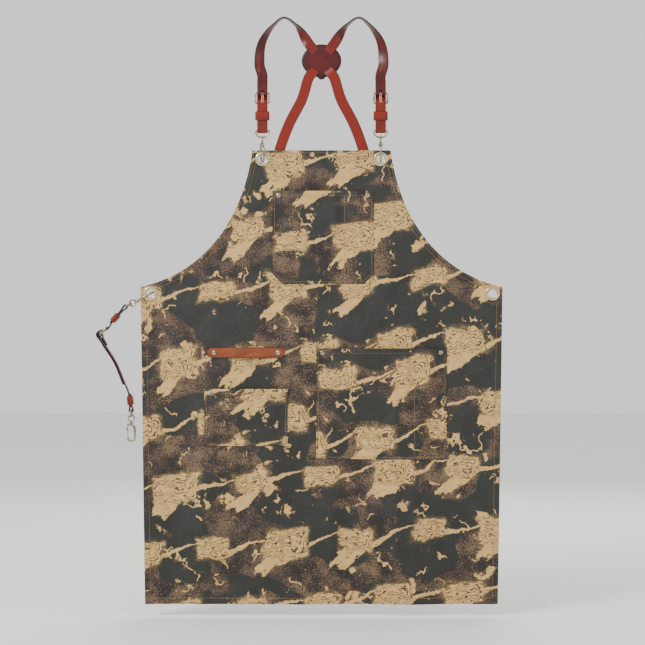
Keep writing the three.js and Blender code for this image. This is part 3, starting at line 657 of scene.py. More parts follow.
def add_piece(name: str, shell: Shell, finish: Finish, body: str, nodes: Sequence[str] = (),
              flat: tuple[Array, Array] | None = None, smooth: bool = True) -> bpy.types.Object:
    """Make an object of a shell, give it its material and body, and put it in the place of its nodes.

    Args:
        name: the object's name.
        shell: its surface, in millimetres from the hem's middle.
        finish: its material.
        body: the moving body that it rides on.
        nodes: the nodes that it replaces.
        flat: flat coordinates of each point, in millimetres; otherwise the shell's marks are used.
        smooth: whether faces are shaded smoothly up to 40 degrees.

    Returns:
        The object.
    """
    mesh = bpy.data.meshes.new(name)
    faces = shell.quads.tolist() + shell.caps
    mesh.from_pydata(DATUM.metres(shell.points).tolist(), [], faces)
    loops = np.zeros(len(mesh.loops), dtype=np.int64)
    mesh.loops.foreach_get("vertex_index", loops)
    none = np.zeros(len(shell.points))
    first, second = flat or (shell.marks.get("along", none), shell.marks.get("aside", none))
    uv = np.stack([first[loops], second[loops]], axis=1) / 1000
    mesh.uv_layers.new(name="flat").data.foreach_set("uv", uv.ravel().astype(np.float32))
    if smooth:
        mesh.shade_smooth()
        mesh.set_sharp_from_angle(angle=math.radians(40))
    mesh.validate()
    mesh.materials.append(finish.material())
    piece = bpy.data.objects.new(name, mesh)
    bpy.context.scene.collection.objects.link(piece)
    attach(piece, body)
    if nodes:
        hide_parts(*nodes)
    return piece


def carve(piece: bpy.types.Object, *cutters: Shell) -> None:
    """Cut shells out of an object."""
    tools = []
    for index, shell in enumerate(cutters):
        mesh = bpy.data.meshes.new(f"cutter_{index}")
        mesh.from_pydata(DATUM.metres(shell.points).tolist(), [], shell.quads.tolist() + shell.caps)
        tool = bpy.data.objects.new(f"cutter_{index}", mesh)
        bpy.context.scene.collection.objects.link(tool)
        cut = piece.modifiers.new(f"cut_{index}", "BOOLEAN")
        cut.operation, cut.solver, cut.object = "DIFFERENCE", "EXACT", tool
        tools.append(tool)
    bpy.context.view_layer.update()
    carved = bpy.data.meshes.new_from_object(piece.evaluated_get(bpy.context.evaluated_depsgraph_get()))
    piece.modifiers.clear()
    old, piece.data = piece.data, carved
    carved.name = old.name + "_cut"
    bpy.data.meshes.remove(old)
    for tool in tools:
        mesh = tool.data
        bpy.data.objects.remove(tool)
        bpy.data.meshes.remove(mesh)


def swell(value: Array, low: float, high: float) -> Array:
    """Rise smoothly from nought at low to one at high."""
    share = np.clip((value - low) / (high - low), 0, 1)
    return share * share * (3 - 2 * share)


# ---- canvas ------------------------------------------------------------------------------------------------


@dataclass(frozen=True)
class Cut:
    """The flat cut of the canvas panel, in millimetres."""

    hem: float = 319.0
    waist: float = 327.5
    waist_height: float = 574.0
    bib: float = 125.0
    height: float = 821.0
    thickness: float = 1.6
    bib_eyelet: tuple[float, float] = (107.0, 805.5)
    waist_eyelet: tuple[float, float] = (309.5, 562.0)

    def armhole(self, share: Array) -> tuple[Array, Array]:
        """Give half width and height along the armhole, a cubic curve from waist corner to bib corner."""
        corners = np.array([[self.waist, self.waist_height], [self.waist - 112, self.waist_height + 24],
                            [self.bib + 18, self.height - 131], [self.bib, self.height]])
        t = share[:, None]
        curve = ((1 - t) ** 3 * corners[0] + 3 * t * (1 - t) ** 2 * corners[1]
                 + 3 * t**2 * (1 - t) * corners[2] + t**3 * corners[3])
        return curve[:, 0], curve[:, 1]

    def half_at(self, height: Array) -> Array:
        """Give the half width at a height."""
        width, z = self.armhole(np.linspace(0, 1, 400))
        skirt = self.hem + (self.waist - self.hem) * height / self.waist_height
        return np.where(height <= self.waist_height, skirt, np.interp(height, z, width))

    def eyelets(self) -> dict[str, tuple[float, float]]:
        """Give the middle of each eyelet."""
        rows = (("bib", self.bib_eyelet), ("waist", self.waist_eyelet))
        return {f"{row}_{name}": (side * x, z) for row, (x, z) in rows
                for name, side in (("left", -1), ("right", 1))}


CUT = Cut()


def drape(x: Array, z: Array) -> Array:
    """Give how far the hung canvas stands behind its flat plane, in millimetres.

    Vertical folds are bell curves across the panel that lean a little and fade out upwards. The hem adds a slow
    wave. All of it dies away about the eyelets.
    """
    x, z = np.asarray(x, float), np.asarray(z, float)
    low = 1 - swell(z, 330, 640)
    out = np.zeros(np.broadcast(x, z).shape)
    for middle, lean, width, height, top in ((-214, 0.02, 20, -4.6, 560), (-262, -0.03, 30, 3.0, 400),
                                             (24, 0.015, 17, -4.2, 600), (66, 0.01, 30, 2.6, 420),
                                             (133, -0.02, 14, -4.4, 560), (172, 0.03, 17, -4.0, 520),
                                             (246, 0.02, 34, 3.4, 430), (288, 0.0, 20, -3.2, 300),
                                             (-120, 0.02, 40, 2.4, 300), (-40, -0.02, 24, -2.6, 260)):
        at = middle + lean * (z - 300)
        out = out + height * np.exp(-(((x - at) / width) ** 2)) * (1 - swell(z, top - 260, top))
    out = out + low * (3.2 * np.sin(x / 41 + 0.7 + z / 260) + 1.3 * np.sin(x / 17.3 - z / 90))
    out = out + 0.55 * np.sin(x / 23 + z / 31) * np.sin(z / 57 - x / 71) * (1 - swell(z, 700, 800))
    for ex, ez in CUT.eyelets().values():
        out = out * (1 - np.exp(-((np.hypot(x - ex, z - ez) / 50) ** 4)))
    return out


def slab(front: Array, back: Array, open_cells: Iterable[tuple[int, int]] = ()) -> Shell:
    """Close a front grid and a back grid into a solid, with walls round the rim and round any open cells."""
    rows, columns = front.shape[:2]
    kept = np.ones((rows - 1, columns - 1), bool)
    for cell in open_cells:
        kept[cell] = False
    index = np.arange(rows * columns).reshape(rows, columns)
    corners = np.stack([index[:-1, :-1], index[:-1, 1:], index[1:, 1:], index[1:, :-1]], axis=-1)
    faces = [corners[kept], corners[kept][:, ::-1] + rows * columns]
    padded = np.pad(kept, 1)
    for shift, first, second in (((0, 1), 0, 1), ((1, 2), 1, 2), ((2, 1), 2, 3), ((1, 0), 3, 0)):
        beside = padded[shift[0]:shift[0] + rows - 1, shift[1]:shift[1] + columns - 1]
        rim = corners[kept & ~beside]
        a, b = rim[:, first], rim[:, second]
        faces.append(np.stack([b, a, a + rows * columns, b + rows * columns], axis=1))
    points = np.concatenate([front.reshape(-1, 3), back.reshape(-1, 3)])
    return Shell(points, np.concatenate(faces)).outward()


class ApronPanel:
    """The canvas panel with its turned hems."""

    hem_depth = 11.0
    hem_lift = 0.75
    hole = 11.6
    hole_reach = 15.2
    eyelet_calm = 34.0
    eyelet_press = 0.12
    half_columns = 75.5
    eyelet_cells = (63, 71)

    def build(self) -> bpy.types.Object:
        """Build the panel.

        Points stand in rows across the cut, with every eyelet in the middle of a cell. The cloth is thicker along
        its rim, where a row of fine puckers follows the seam. About each eyelet the points move out, to leave a
        hole under the flange, and the cloth lies flatter and thinner.
        """
        waist, bib = CUT.waist_eyelet, CUT.bib_eyelet
        skirt = np.interp(np.arange(132), [0, 128.5, 131], [0, waist[1], CUT.waist_height])
        _, upper = CUT.armhole(np.linspace(0, 1, 74))
        below = np.searchsorted(upper, bib[1]) - 1
        upper = np.interp(upper, [upper[0], (upper[below] + upper[below + 1]) / 2, upper[-1]],
                          [upper[0], bib[1], upper[-1]])
        z = np.concatenate([skirt, upper[1:]])[:, None]
        half = CUT.half_at(z[:, 0])[:, None]
        shares = [ex / float(CUT.half_at(np.array([ez]))[0]) for ex, ez in (bib, waist)]
        even_share = np.linspace(-1, 1, 152)[None, :]
        cell_middles = [0, *(cell / self.half_columns for cell in self.eyelet_cells), 1]
        share = np.sign(even_share) * np.interp(np.abs(even_share), cell_middles, [0, *shares, 1])
        x, z = half * share, z + 0 * share
        rim = np.minimum(np.minimum(half - np.abs(x), z), CUT.height - z)
        flat_x, flat_z = x.copy(), z.copy()
        cells = []
        for ex, ez in CUT.eyelets().values():
            far = np.hypot(x - ex, z - ez)
            row, column = np.argwhere((x[:-1, :-1] <= ex) & (x[:-1, 1:] > ex) & (z[:-1, :-1] <= ez)
                                      & (z[1:, :-1] > ez))[0]
            wide, tall = x[row, column + 1] - x[row, column], z[row + 1, column] - z[row, column]
            reach = round((tall / wide - 1) / 2)
            cells += [(row, column + step) for step in range(-reach, reach + 1)]
            push = np.where(far < self.hole_reach, self.hole + far * (1 - self.hole / self.hole_reach), far)
            scale = push / np.maximum(far, TINY)
            x, z = ex + (x - ex) * scale, ez + (z - ez) * scale
        hem = 1 - swell(rim, self.hem_depth - 1.2, self.hem_depth + 0.4)
        pucker = 0.22 * np.sin((x + z) / 2.1) * np.exp(-(((rim - self.hem_depth) / 5) ** 2))
        eyelet_far = np.minimum.reduce([np.hypot(x - ex, z - ez) for ex, ez in CUT.eyelets().values()])
        quiet = 1 - np.exp(-((eyelet_far / self.eyelet_calm) ** 4))
        hem, pucker = hem * quiet, pucker * quiet
        middle = drape(x, z) + pucker
        half_thick = CUT.thickness / 2 - self.eyelet_press * (1 - quiet)
        front = np.stack([x, middle - half_thick - self.hem_lift * hem, z], axis=-1)
        back = np.stack([x, middle + half_thick + 0.35 * hem, z], axis=-1)
        shell = slab(front, back, cells)
        flat = (np.tile(flat_x.ravel(), 2), np.tile(flat_z.ravel(), 2))
        panel = add_piece("canvas_panel", shell, Finish.CANVAS, "apron", ("apron_panel",), flat)
        return panel


@dataclass(frozen=True)
class Pouch:
    """A pouch pocket sewn to the panel along its sides, its bottom and its divider."""

    name: str
    left: float
    right: float
    top: float
    height: float
    chamfer: float = 0.0
    seam: float | None = None
    print_shift: tuple[float, float] = (0.0, 0.0)
    depth: float = 6.0
    wall: float = 1.2

    @property
    def bottom(self) -> float:
        """The height of its lower edge."""
        return self.top - self.height

    def edges(self, z: Array) -> tuple[Array, Array]:
        """Give the left and right edge at a height, drawn in where the lower corners are cut off."""
        into = np.clip(self.chamfer - (z - self.bottom), 0, None)
        return self.left + into, self.right - into

    def bulge(self, x: Array, z: Array) -> Array:
        """Give how far the pouch stands off the panel: full at its mouth, held flat at its seams."""
        left, right = self.edges(z)
        side = np.minimum(x - left, right - x)
        out = swell(side, 6, 30)
        if self.seam is not None:
            out = out * swell(np.abs(x - self.seam), 2, 18)
        up = (z - self.bottom) / self.height
        out = out * swell(z, self.bottom + 8, self.bottom + 0.75 * self.height) * (0.75 + 0.25 * up)
        fold = 0.75 + 0.16 * np.sin(x / 11 + z / 37) + 0.12 * np.sin(x / 23 - z / 19 + self.left)
        return self.depth * out * fold

    def front(self, x: Array, z: Array) -> Array:
        """Give the depth of the pouch's outer face."""
        return drape(x, z) - CUT.thickness / 2 - 0.3 - self.bulge(x, z) - self.wall

    def build(self) -> bpy.types.Object:
        """Build the pouch as a grid, with a turned hem along its mouth and a folded rim."""
        z = np.concatenate([np.linspace(self.bottom, self.top - 10, int(self.height / 3.2)),
                            np.linspace(self.top - 9.2, self.top, 9)])[:, None]
        left, right = self.edges(z)
        share = np.linspace(0, 1, int((self.right - self.left) / 3.0))[None, :]
        x, z = left + (right - left) * share, z + 0 * share
        rim = np.minimum(np.minimum(x - left, right - x), z - self.bottom)
        rolled = 0.55 * (1 - swell(rim, 0.5, 3.5))
        mouth = swell(z, self.top - 9.5, self.top - 8.6)
        pucker = 0.18 * np.sin((x + z) / 1.9) * np.exp(-(((rim - 4) / 3.5) ** 2))
        outer = self.front(x, z) + rolled * 0.6 - 0.55 * mouth + pucker
        inner = self.front(x, z) + self.wall
        shell = slab(np.stack([x, outer, z], axis=-1), np.stack([x, inner, z], axis=-1))
        flat = (np.tile(x.ravel() + self.print_shift[0], 2), np.tile(z.ravel() + self.print_shift[1], 2))
        pouch = add_piece(f"{self.name}_canvas", shell, Finish.CANVAS, "apron", (self.name,), flat)
        return pouch


POUCHES = (
    Pouch("bib_pocket", -88.7, 94.6, 747.5, 168, 18, 41.5, (61, 37)),
    Pouch("towel_pocket", -212, -61.2, 389.5, 103, print_shift=(40, -55)),
    Pouch("tool_pocket", -9.4, 227, 462.5, 200, 0, 168.2, (-33, 48)),
)


# ---- stitching ---------------------------------------------------------------------------------------------


@dataclass(frozen=True)
class StitchRow:
    """A row of stitches: small rounded rods along a line on a surface."""

    length: float = 2.9
    gap: float = 1.1
    radius: float = 0.34

    def along(self, line: Array, outward: Array | None = None) -> Shell:
        """Lay stitches along a line of points. Each is a six-sided rod of four rings, turned to the line."""
        count = max(int(np.linalg.norm(np.diff(line, axis=0), axis=1).sum() / (self.length + self.gap)), 2)
        ends = even(line, 0.5)
        where = np.linspace(0, len(ends) - 1, count + 1)
        middle = columns_at(where, np.arange(len(ends)), ends)
        start, stop = middle[:-1], middle[1:]
        direction = unit(stop - start)
        outward = -DEEP if outward is None else outward
        side = unit(np.cross(direction, outward))
        rise = np.cross(side, direction)
        centre = (start + stop) / 2
        angle = np.linspace(0, 2 * math.pi, 6, endpoint=False)
        ring = np.array([[-0.5, 0.35, -0.25], [-0.36, 1.0, 0.0], [0.36, 1.0, 0.0], [0.5, 0.35, -0.25]])
        local = (centre[:, None, None]
                 + direction[:, None, None] * (ring[:, 0] * self.length)[None, :, None, None]
                 + side[:, None, None] * (ring[:, 1, None] * np.cos(angle) * self.radius)[None, ..., None]
                 + rise[:, None, None] * ((ring[:, 1, None] * np.sin(angle) + ring[:, 2, None])
                                          * self.radius)[None, ..., None])
        points = local.reshape(-1, 3)
        faces = lattice(4, 6)
        start_at = np.arange(count)[:, None, None] * 24
        quads = (faces[None] + start_at).reshape(-1, 4)
        caps = [[int(i + 24 * n) for i in ring_cap] for n in range(count)
                for ring_cap in (range(6), range(23, 17, -1))]
        return Shell(points, quads, caps).outward()


def on_panel(x: Array, z: Array, lift: float = 0.1) -> Array:
    """Give points just in front of the panel's hem."""
    return np.stack([x, drape(x, z) - CUT.thickness / 2 - ApronPanel.hem_lift * 0.6 - lift, z], axis=1)


class Seams:
    """All rows of stitches on the canvas."""

    def panel_rows(self) -> list[Array]:
        """Give the rows along the panel's hems: two along each armhole, one along every other edge."""
        rows = []
        x = np.linspace(-306, 306, 160)
        rows.append(on_panel(x, np.full_like(x, 11.0)))
        z = np.linspace(11, 548, 140)
        for side in (-1, 1):
            rows.append(on_panel(side * (CUT.half_at(z) - 10), z))
            for inset in (3.5, 9.5):
                width, height = CUT.armhole(np.linspace(0.055, 0.985, 110))
                slope_x, slope_z = np.gradient(width), np.gradient(height)
                into = inset / np.hypot(slope_x, slope_z)
                rows.append(on_panel(side * (width - into * slope_z), height + into * slope_x))
        for drop, reach in ((4.0, 92.0), (11.5, 92.0)):
            x = np.linspace(-reach, reach, 60)
            rows.append(on_panel(x, np.full_like(x, CUT.height - drop)))
        return rows

    def pouch_rows(self, pouch: Pouch) -> list[Array]:
        """Give the rows of a pouch: both sides and bottom, its mouth's hem and its divider."""
        def laid(x: Array, z: Array, lift: float = 0.12) -> Array:
            return np.stack([x, pouch.front(x, z) - lift, z], axis=1)

        rows = []
        inset, corner = 3.6, max(pouch.chamfer, 4)
        z = np.linspace(pouch.top - 1.5, pouch.bottom + corner, 90)
        low = np.linspace(pouch.left + corner, pouch.right - corner, 90)
        rows.append(laid(np.full_like(z, pouch.left + inset), z))
        rows.append(laid(np.full_like(z, pouch.right - inset), z))
        rows.append(laid(low, np.full_like(low, pouch.bottom + inset)))
        if pouch.chamfer:
            share = np.linspace(0.1, 0.9, 12)
            height = pouch.bottom + inset * 0.6 + pouch.chamfer * share
            into = pouch.chamfer * (1 - share)
            rows.append(laid(pouch.left + inset * 0.8 + into, height))
            rows.append(laid(pouch.right - inset * 0.8 - into, height))
        x = np.linspace(pouch.left + 5, pouch.right - 5, 90)
        rows.append(laid(x, np.full_like(x, pouch.top - 8.3), 0.3))
        if pouch.seam is not None:
            z = np.linspace(pouch.top - 2, pouch.bottom + 4, 90)
            rows.append(laid(np.full_like(z, pouch.seam), z))
        return rows

    def build(self) -> None:
        """Build the stitches of the panel and of each pouch, one object for each."""
        groups = {"panel": self.panel_rows(), **{pouch.name: self.pouch_rows(pouch) for pouch in POUCHES}}
        for name, rows in groups.items():
            shells = [StitchRow().along(row) for row in rows]
            add_piece(f"{name}_stitches", shells[0].joined(*shells[1:]), Finish.THREAD, "apron")


# ---- metal fittings ----------------------------------------------------------------------------------------


HALF = CUT.thickness / 2
GAP = 0.3


@dataclass(frozen=True)
class Eyelet:
    """A rolled eyelet with its washer behind the canvas."""

    hole: float = 7.25
    barrel: float = 8.15
    flange: float = 13.0
    dome: float = 1.2
    washer: float = 0.8

    def build(self, name: str, x: float, z: float) -> None:
        """Turn the eyelet and its washer: a domed flange that curls into the barrel, and a curl behind."""
        front, back = HALF + GAP, HALF + 2 * GAP + self.washer
        angle = np.linspace(0, math.pi, 14)
        middle, half = (self.hole + self.flange) / 2, (self.flange - self.hole) / 2
        crown = [(middle + half * math.cos(a), -front - 0.25 - (self.dome + 0.1) * math.sin(a) ** 0.8)
                 for a in angle]
        curl = [(self.barrel + 0.2, back), (self.barrel + 1.3, back + 0.1), (self.barrel + 1.3, back + 0.45),
                (self.barrel + 0.8, back + 0.7), (self.hole + 0.3, back + 0.6), (self.hole, back + 0.2)]
        profile = [(self.flange, -front + 0.05), *crown, (self.hole, -front + 0.3), *curl[::-1],
                   (self.barrel, back), (self.barrel, -front), (self.flange - 0.4, -front + 0.05),
                   (self.flange, -front + 0.05)]
        place = np.array([x, 0.0, z])
        for part, outline in (("eyelet", profile), ("eyelet_washer", self.washer_profile())):
            shell = turned(outline, 64)
            shell.points = shell.points + place
            add_piece(f"{name}_{part}_turned", shell, Finish.BRASS, "apron", (f"{name}_{part}",))

    def washer_profile(self) -> list[tuple[float, float]]:
        """Give the washer's section: a flat ring with eased edges."""
        low, high, inner = HALF + GAP, HALF + GAP + self.washer, self.barrel + GAP
        return [(inner, low), (self.flange - 0.2, low), (self.flange, low + 0.25), (self.flange, high - 0.25),
                (self.flange - 0.3, high), (inner + 0.2, high), (inner, high - 0.2), (inner, low)]


@dataclass(frozen=True)
class Rivet:
    """A domed rivet with its flat burr behind the canvas."""

    cap: float = 4.4
    post: float = 1.5
    dome: float = 1.5
    burr: float = 0.6

    def build(self, name: str, x: float, z: float, front: float) -> None:
        """Turn the rivet from its dome, its post and its burr."""
        shift = float(drape(np.array([x]), np.array([z]))[0])
        angle = np.linspace(0.06, math.pi / 2, 9)
        dome = [(self.cap * math.sin(a), -front - 0.25 - (self.dome - 0.25) * math.cos(a)) for a in angle]
        back = HALF + GAP
        profile = [*dome, (self.cap, -front), (self.post, -front), (self.post, back), (self.cap - 0.2, back),
                   (self.cap, back + 0.15), (self.cap, back + 0.45), (self.cap - 0.4, back + self.burr),
                   (0.05, back + self.burr)]
        shell = turned(profile, 32)
        shell.points = shell.points + np.array([x, shift, z])
        add_piece(f"{name}_turned", shell, Finish.NICKEL, "apron", (name,))


def d_ring() -> Shell:
    """Bend a D ring: a bar along x, and a half round below it."""
    turn = np.radians(np.arange(0, -181, -7.5))
    bow = np.stack([12.5 * np.cos(turn), 0 * turn, 12.5 * np.sin(turn)], axis=1)
    bar = np.stack([np.linspace(-10.5, 10.5, 12), np.zeros(12), np.zeros(12)], axis=1)
    corners = np.array([[-12.1, 0, -0.2], [12.1, 0, -0.2]])
    path = np.concatenate([bow[1:-1], corners[:1], bar, corners[1:]])
    return round_wire(path, 1.5, 16, True, DEEP)


def buckle_frame() -> Shell:
    """Bend a buckle frame: a rounded rectangle of wire from the far bar to the heel bar."""
    corners = np.array([[-12.2, 0, 68], [-12.2, 0, 50], [12.2, 0, 50], [12.2, 0, 68.0]])
    path = even(np.vstack([rounded_corners(corners, 2.4, 6), rounded_corners(corners, 2.4, 6)[:1]]), 1.0)[:-1]
    return round_wire(path, 1.5, 14, True, DEEP)


def buckle_prong() -> Shell:
    """Bend a prong: hooked round the heel bar, then straight to the far bar, thinner towards its tip."""
    bend = 2.6
    turn = np.radians([-60, -15, 30, 75, 120])
    hook = np.stack([0 * turn, -bend * np.cos(turn), 68 + bend * np.sin(turn)], axis=1)
    path = smooth_path(np.vstack([hook, [[0, bend, 68], [0, bend, 62], [0, bend, 48.5]]]), 0.8)[:, :3]
    taper = np.interp(path[:, 2], [48.5, 52, 68], [0.72, 0.95, 1.0])
    return sweep(path, ACROSS, rounded_outline(3.0, 1.6, 0.75, 4, 0), scale=taper)


@dataclass(frozen=True)
class TriggerSnap:
    """A trigger snap: a swivel eye, a hook with its collar, and a sprung gate. The eye's top is at z = 0."""

    name: str
    eye_body: str
    hook_body: str
    gate_body: str

    def eye(self) -> Shell:
        """Make the eye: a ring, its neck and the head that turns in the collar."""
        turn = np.linspace(0, 2 * math.pi, 40, endpoint=False)
        ring = np.stack([5.5 * np.sin(turn), 0 * turn, -7 + 5.5 * np.cos(turn)], axis=1)
        neck = turned([(0.05, -12.6), (1.7, -12.9), (1.5, -14.0), (1.5, -16.6), (2.4, -16.8), (2.4, -18.4),
                       (0.05, -18.6)], 20, 2)
        return round_wire(ring, 1.5, 14, True, DEEP).joined(neck)

    def hook(self) -> Shell:
        """Make the hook: a turned collar, the arm that carries the gate, and a wire bent into a hook."""
        collar = turned([(1.8, -14.3), (3.5, -14.3), (4.2, -14.9), (4.2, -15.9), (3.7, -16.3), (3.7, -16.8),
                         (4.2, -17.2), (4.2, -19.6), (3.4, -20.4), (2.7, -20.6), (2.7, -18.8), (1.8, -16.4),
                         (1.8, -14.3)], 36, 2)
        turn = np.radians(np.arange(180, 361, 10.0))
        arc = np.stack([6.5 * np.cos(turn), 0 * turn, -41.5 + 6.5 * np.sin(turn)], axis=1)
        leg = np.array([[0, 0, -18.8], [-3.2, 0, -20.8], [-5.4, 0, -23.6], [-6.4, 0, -27.8],
                        [-6.5, 0, -34.0]])
        path = smooth_path(np.vstack([leg, arc, [[6.5, 0, -39.2]]]), 1.0)[:, :3]
        size = np.full(len(path), 2.0)
        size[-3:] = (1.9, 1.6, 1.2)
        arm_path = smooth_path(np.array([[-0.5, 0, -18.7], [3.5, 0, -18.5], [7.8, 0, -18.9]]), 1.0)[:, :3]
        arm = sweep(arm_path, DEEP, rounded_outline(4.6, 3.0, 1.2, 4, 0))
        return collar.joined(round_wire(path, size, 16, False, DEEP), arm)

    def gate(self) -> Shell:
        """Make the gate: a slim bar with a thumb stud on its outer side."""
        path = np.stack([np.full(16, 6.5), np.zeros(16), np.linspace(-20.7, -38.6, 16)], axis=1)
        taper = np.interp(path[:, 2], [-38.6, -36, -22, -20.7], [0.75, 1.0, 1.0, 0.85])
        bar = sweep(path, DEEP, rounded_outline(3.6, 1.8, 0.7, 4, 0), scale=taper)
        stud = turned([(0.05, 6.9), (1.1, 7.0), (1.1, 8.2), (1.6, 8.5), (1.6, 9.1), (1.1, 9.5), (0.05, 9.6)],
                      20, 0)
        stud.points = stud.points + np.array([0, 0, -26.0])
        return bar.joined(stud)

    def build(self, place: Place, eye_turn: float, hook_turn: float) -> None:
        """Place the three pieces. The eye and the hook each have a heading about the stem."""
        for part, shell, turn, body in (("eye", self.eye(), eye_turn, self.eye_body),
                                        ("hook", self.hook(), hook_turn, self.hook_body),
                                        ("gate", self.gate(), hook_turn, self.gate_body)):
            add_piece(f"{self.name}_snap_{part}_bent", shell.placed(place.turned(turn)), Finish.NICKEL, body,
                      (f"{self.name}_snap_{part}",))


class Fittings:
    """The eyelets, rivets and towel strip on the canvas."""

    def towel_strip(self) -> None:
        """Build the towel strip: flat at its rivets, bowed out between them, with half-round ends."""
        centre, height, length, flat_y = -136.0, 455.0, 139.0, -HALF - GAP / 2 - 1.2
        x = np.linspace(-length / 2, length / 2, 90)
        bow = np.where(np.abs(x) < 45.5, 9 * (1 + np.cos(np.pi * np.clip(x / 45.5, -1, 1))) / 2, 0)
        path = np.stack([centre + x, flat_y - bow, np.full_like(x, height)], axis=1)
        shell = sweep(path, UP, rounded_outline(19, 2.4, 0.8, 4, 6))
        past = np.clip((np.abs(shell.points[:, 0] - centre) - 60.4) / 9.3, 0, 1)
        round_end = np.sqrt(np.clip(1 - past**2, 0.04, 1))
        shell.points[:, 2] = height + (shell.points[:, 2] - height) * round_end
        ends = centre + np.array([-57.5, 57.5])
        stand = drape(ends, np.array([height, height]))
        shell.points[:, 1] += np.interp(shell.points[:, 0], ends, stand)
        strip = add_piece("towel_strip_leather", shell, Finish.TAN, "apron", ("towel_strip",))
        holes = []
        for side in (-1, 1):
            hole = turned([(1.8, -12), (1.8, 12)], 16)
            hole.points = hole.points + np.array([centre + side * 57.5, flat_y, height])
            holes.append(hole)
        carve(strip, *holes)

    def build(self) -> None:
        """Build them all."""
        for name, (x, z) in CUT.eyelets().items():
            Eyelet().build(name, x, z)
        for pouch in POUCHES:
            z = pouch.top - 11 / 1.4
            for side, x in (("left", pouch.left + 11), ("right", pouch.right - 11)):
                at = np.array([x]), np.array([z])
                lift = float((drape(*at) - pouch.front(*at))[0])
                Rivet().build(f"{pouch.name}_rivet_{side}", x, z, lift + 0.45)
        self.towel_strip()
        for side, x in (("left", -193.5), ("right", -78.5)):
            Rivet().build(f"towel_strip_rivet_{side}", x, 455.0, HALF + 2 * GAP + 2.4)


# ---- leather harness ---------------------------------------------------------------------------------------


THICK, WIDE, WIRE = 2.4, 19.0, 1.5
LAYER = (THICK + GAP) / 2
FOLD = WIRE + 2 * GAP + THICK / 2
OVER_FOLD = FOLD + THICK + GAP
OVER_LAYERS = LAYER + THICK + GAP
STRAP = rounded_outline(WIDE, THICK, 0.8, 4, 8)
HEEL = 68.0


def doubled_about(bar: float, way: float = 1.0) -> list[tuple[float, float]]:
    """Give a strap's line doubled about a bar, as depth and length: flat, open, round the bar, flat again."""
    turn = [(way * FOLD * math.cos(a), bar - FOLD * math.sin(a)) for a in np.radians(np.arange(0, 181, 22.5))]
    return [(way * LAYER, bar + 15), (way * (LAYER + 0.3), bar + 8), *turn, (-way * (LAYER + 0.3), bar + 8),
            (-way * LAYER, bar + 15)]


def keeper(place: Place, start: float) -> Shell:
    """Bend a keeper: a flat band round both layers of the strap, which it leaves with a little room."""
    corners = np.array([[11.8, 4.15, 0], [-11.8, 4.15, 0], [-11.8, -4.15, 0], [11.8, -4.15, 0]])
    path = rounded_corners(corners, 2.6, 8)
    path = even(np.vstack([path, path[:1]]), 1.0)[:-1]
    shell = sweep(path, UP, rounded_outline(16, 2.5, 0.8, 4, 10), True)
    return shell.placed(place.shifted(start + 8))


def slot_tool(place: Place, middle: float, length: float, depth: float = 9.0) -> Shell:
    """Make the tool for a prong's slot through a strap."""
    path = np.array([[0, -depth, middle], [0, 0, middle], [0, depth, middle]], float)
    return sweep(path, UP, rounded_outline(length, 4.1, 2.0, 4, 0)).placed(place)


@dataclass(frozen=True)
class AdjusterSet:
    """A D ring, an adjuster strap, its keeper and a pin buckle, in the strap's axes from the ring's bar."""

    name: str
    place: Place
    ring_place: Place
    ring_body: str
    body: str

    def build(self, tail: Array) -> None:
        """Build the set; the tail is the strap's line beyond the heel bar."""
        over = WIRE + GAP + THICK / 2
        line = [(LAYER, 40.0), (LAYER, 24.0), *doubled_about(0), (-LAYER, 24.0), (-LAYER, 40.0), (-over, 50.0),
                (-over + 0.8, 53.6), (over - 0.3, 59.36), (OVER_FOLD - 0.1, 64.76), (OVER_FOLD, HEEL)]
        stations = np.vstack([[self.place.at(0, y, s) for y, s in line], tail])
        path = smooth_path(stations, 1.1)
        strap = add_piece(f"{self.name}_adjuster_leather", sweep(path, self.place.across, STRAP), Finish.RED,
                          self.body, (f"{self.name}_adjuster_strap",))
        carve(strap, slot_tool(self.place, 59.5, 19.0, 14.0))
        for part, shell, finish in (("buckle_frame", buckle_frame(), Finish.NICKEL),
                                    ("buckle_prong", buckle_prong(), Finish.NICKEL)):
            add_piece(f"{self.name}_{part}_bent", shell.placed(self.place), finish, self.body,
                      (f"{self.name}_{part}",))
        add_piece(f"{self.name}_ring_bent", d_ring().placed(self.ring_place), Finish.NICKEL, self.ring_body,
                  (f"{self.name}_ring",))
        add_piece(f"{self.name}_keeper_leather", keeper(self.place, 19.0), Finish.RED_KEEPER,
                  f"{self.name}_keeper", (f"{self.name}_keeper",))


@dataclass(frozen=True)
class Heights:
    """Heights of the harness, in millimetres above the hem, and its depths."""

    crown: float = 1063.0
    patch: float = 984.0
    patch_depth: float = 8.0
    crown_depth: float = 8.0
    ring_bar: float = 856.45
    bib_snap_top: float = 848.75
    loop_top: float = 641.0
    bend_share: float = 0.494
    foot: float = 585.0
    behind_bib: float = 3.2


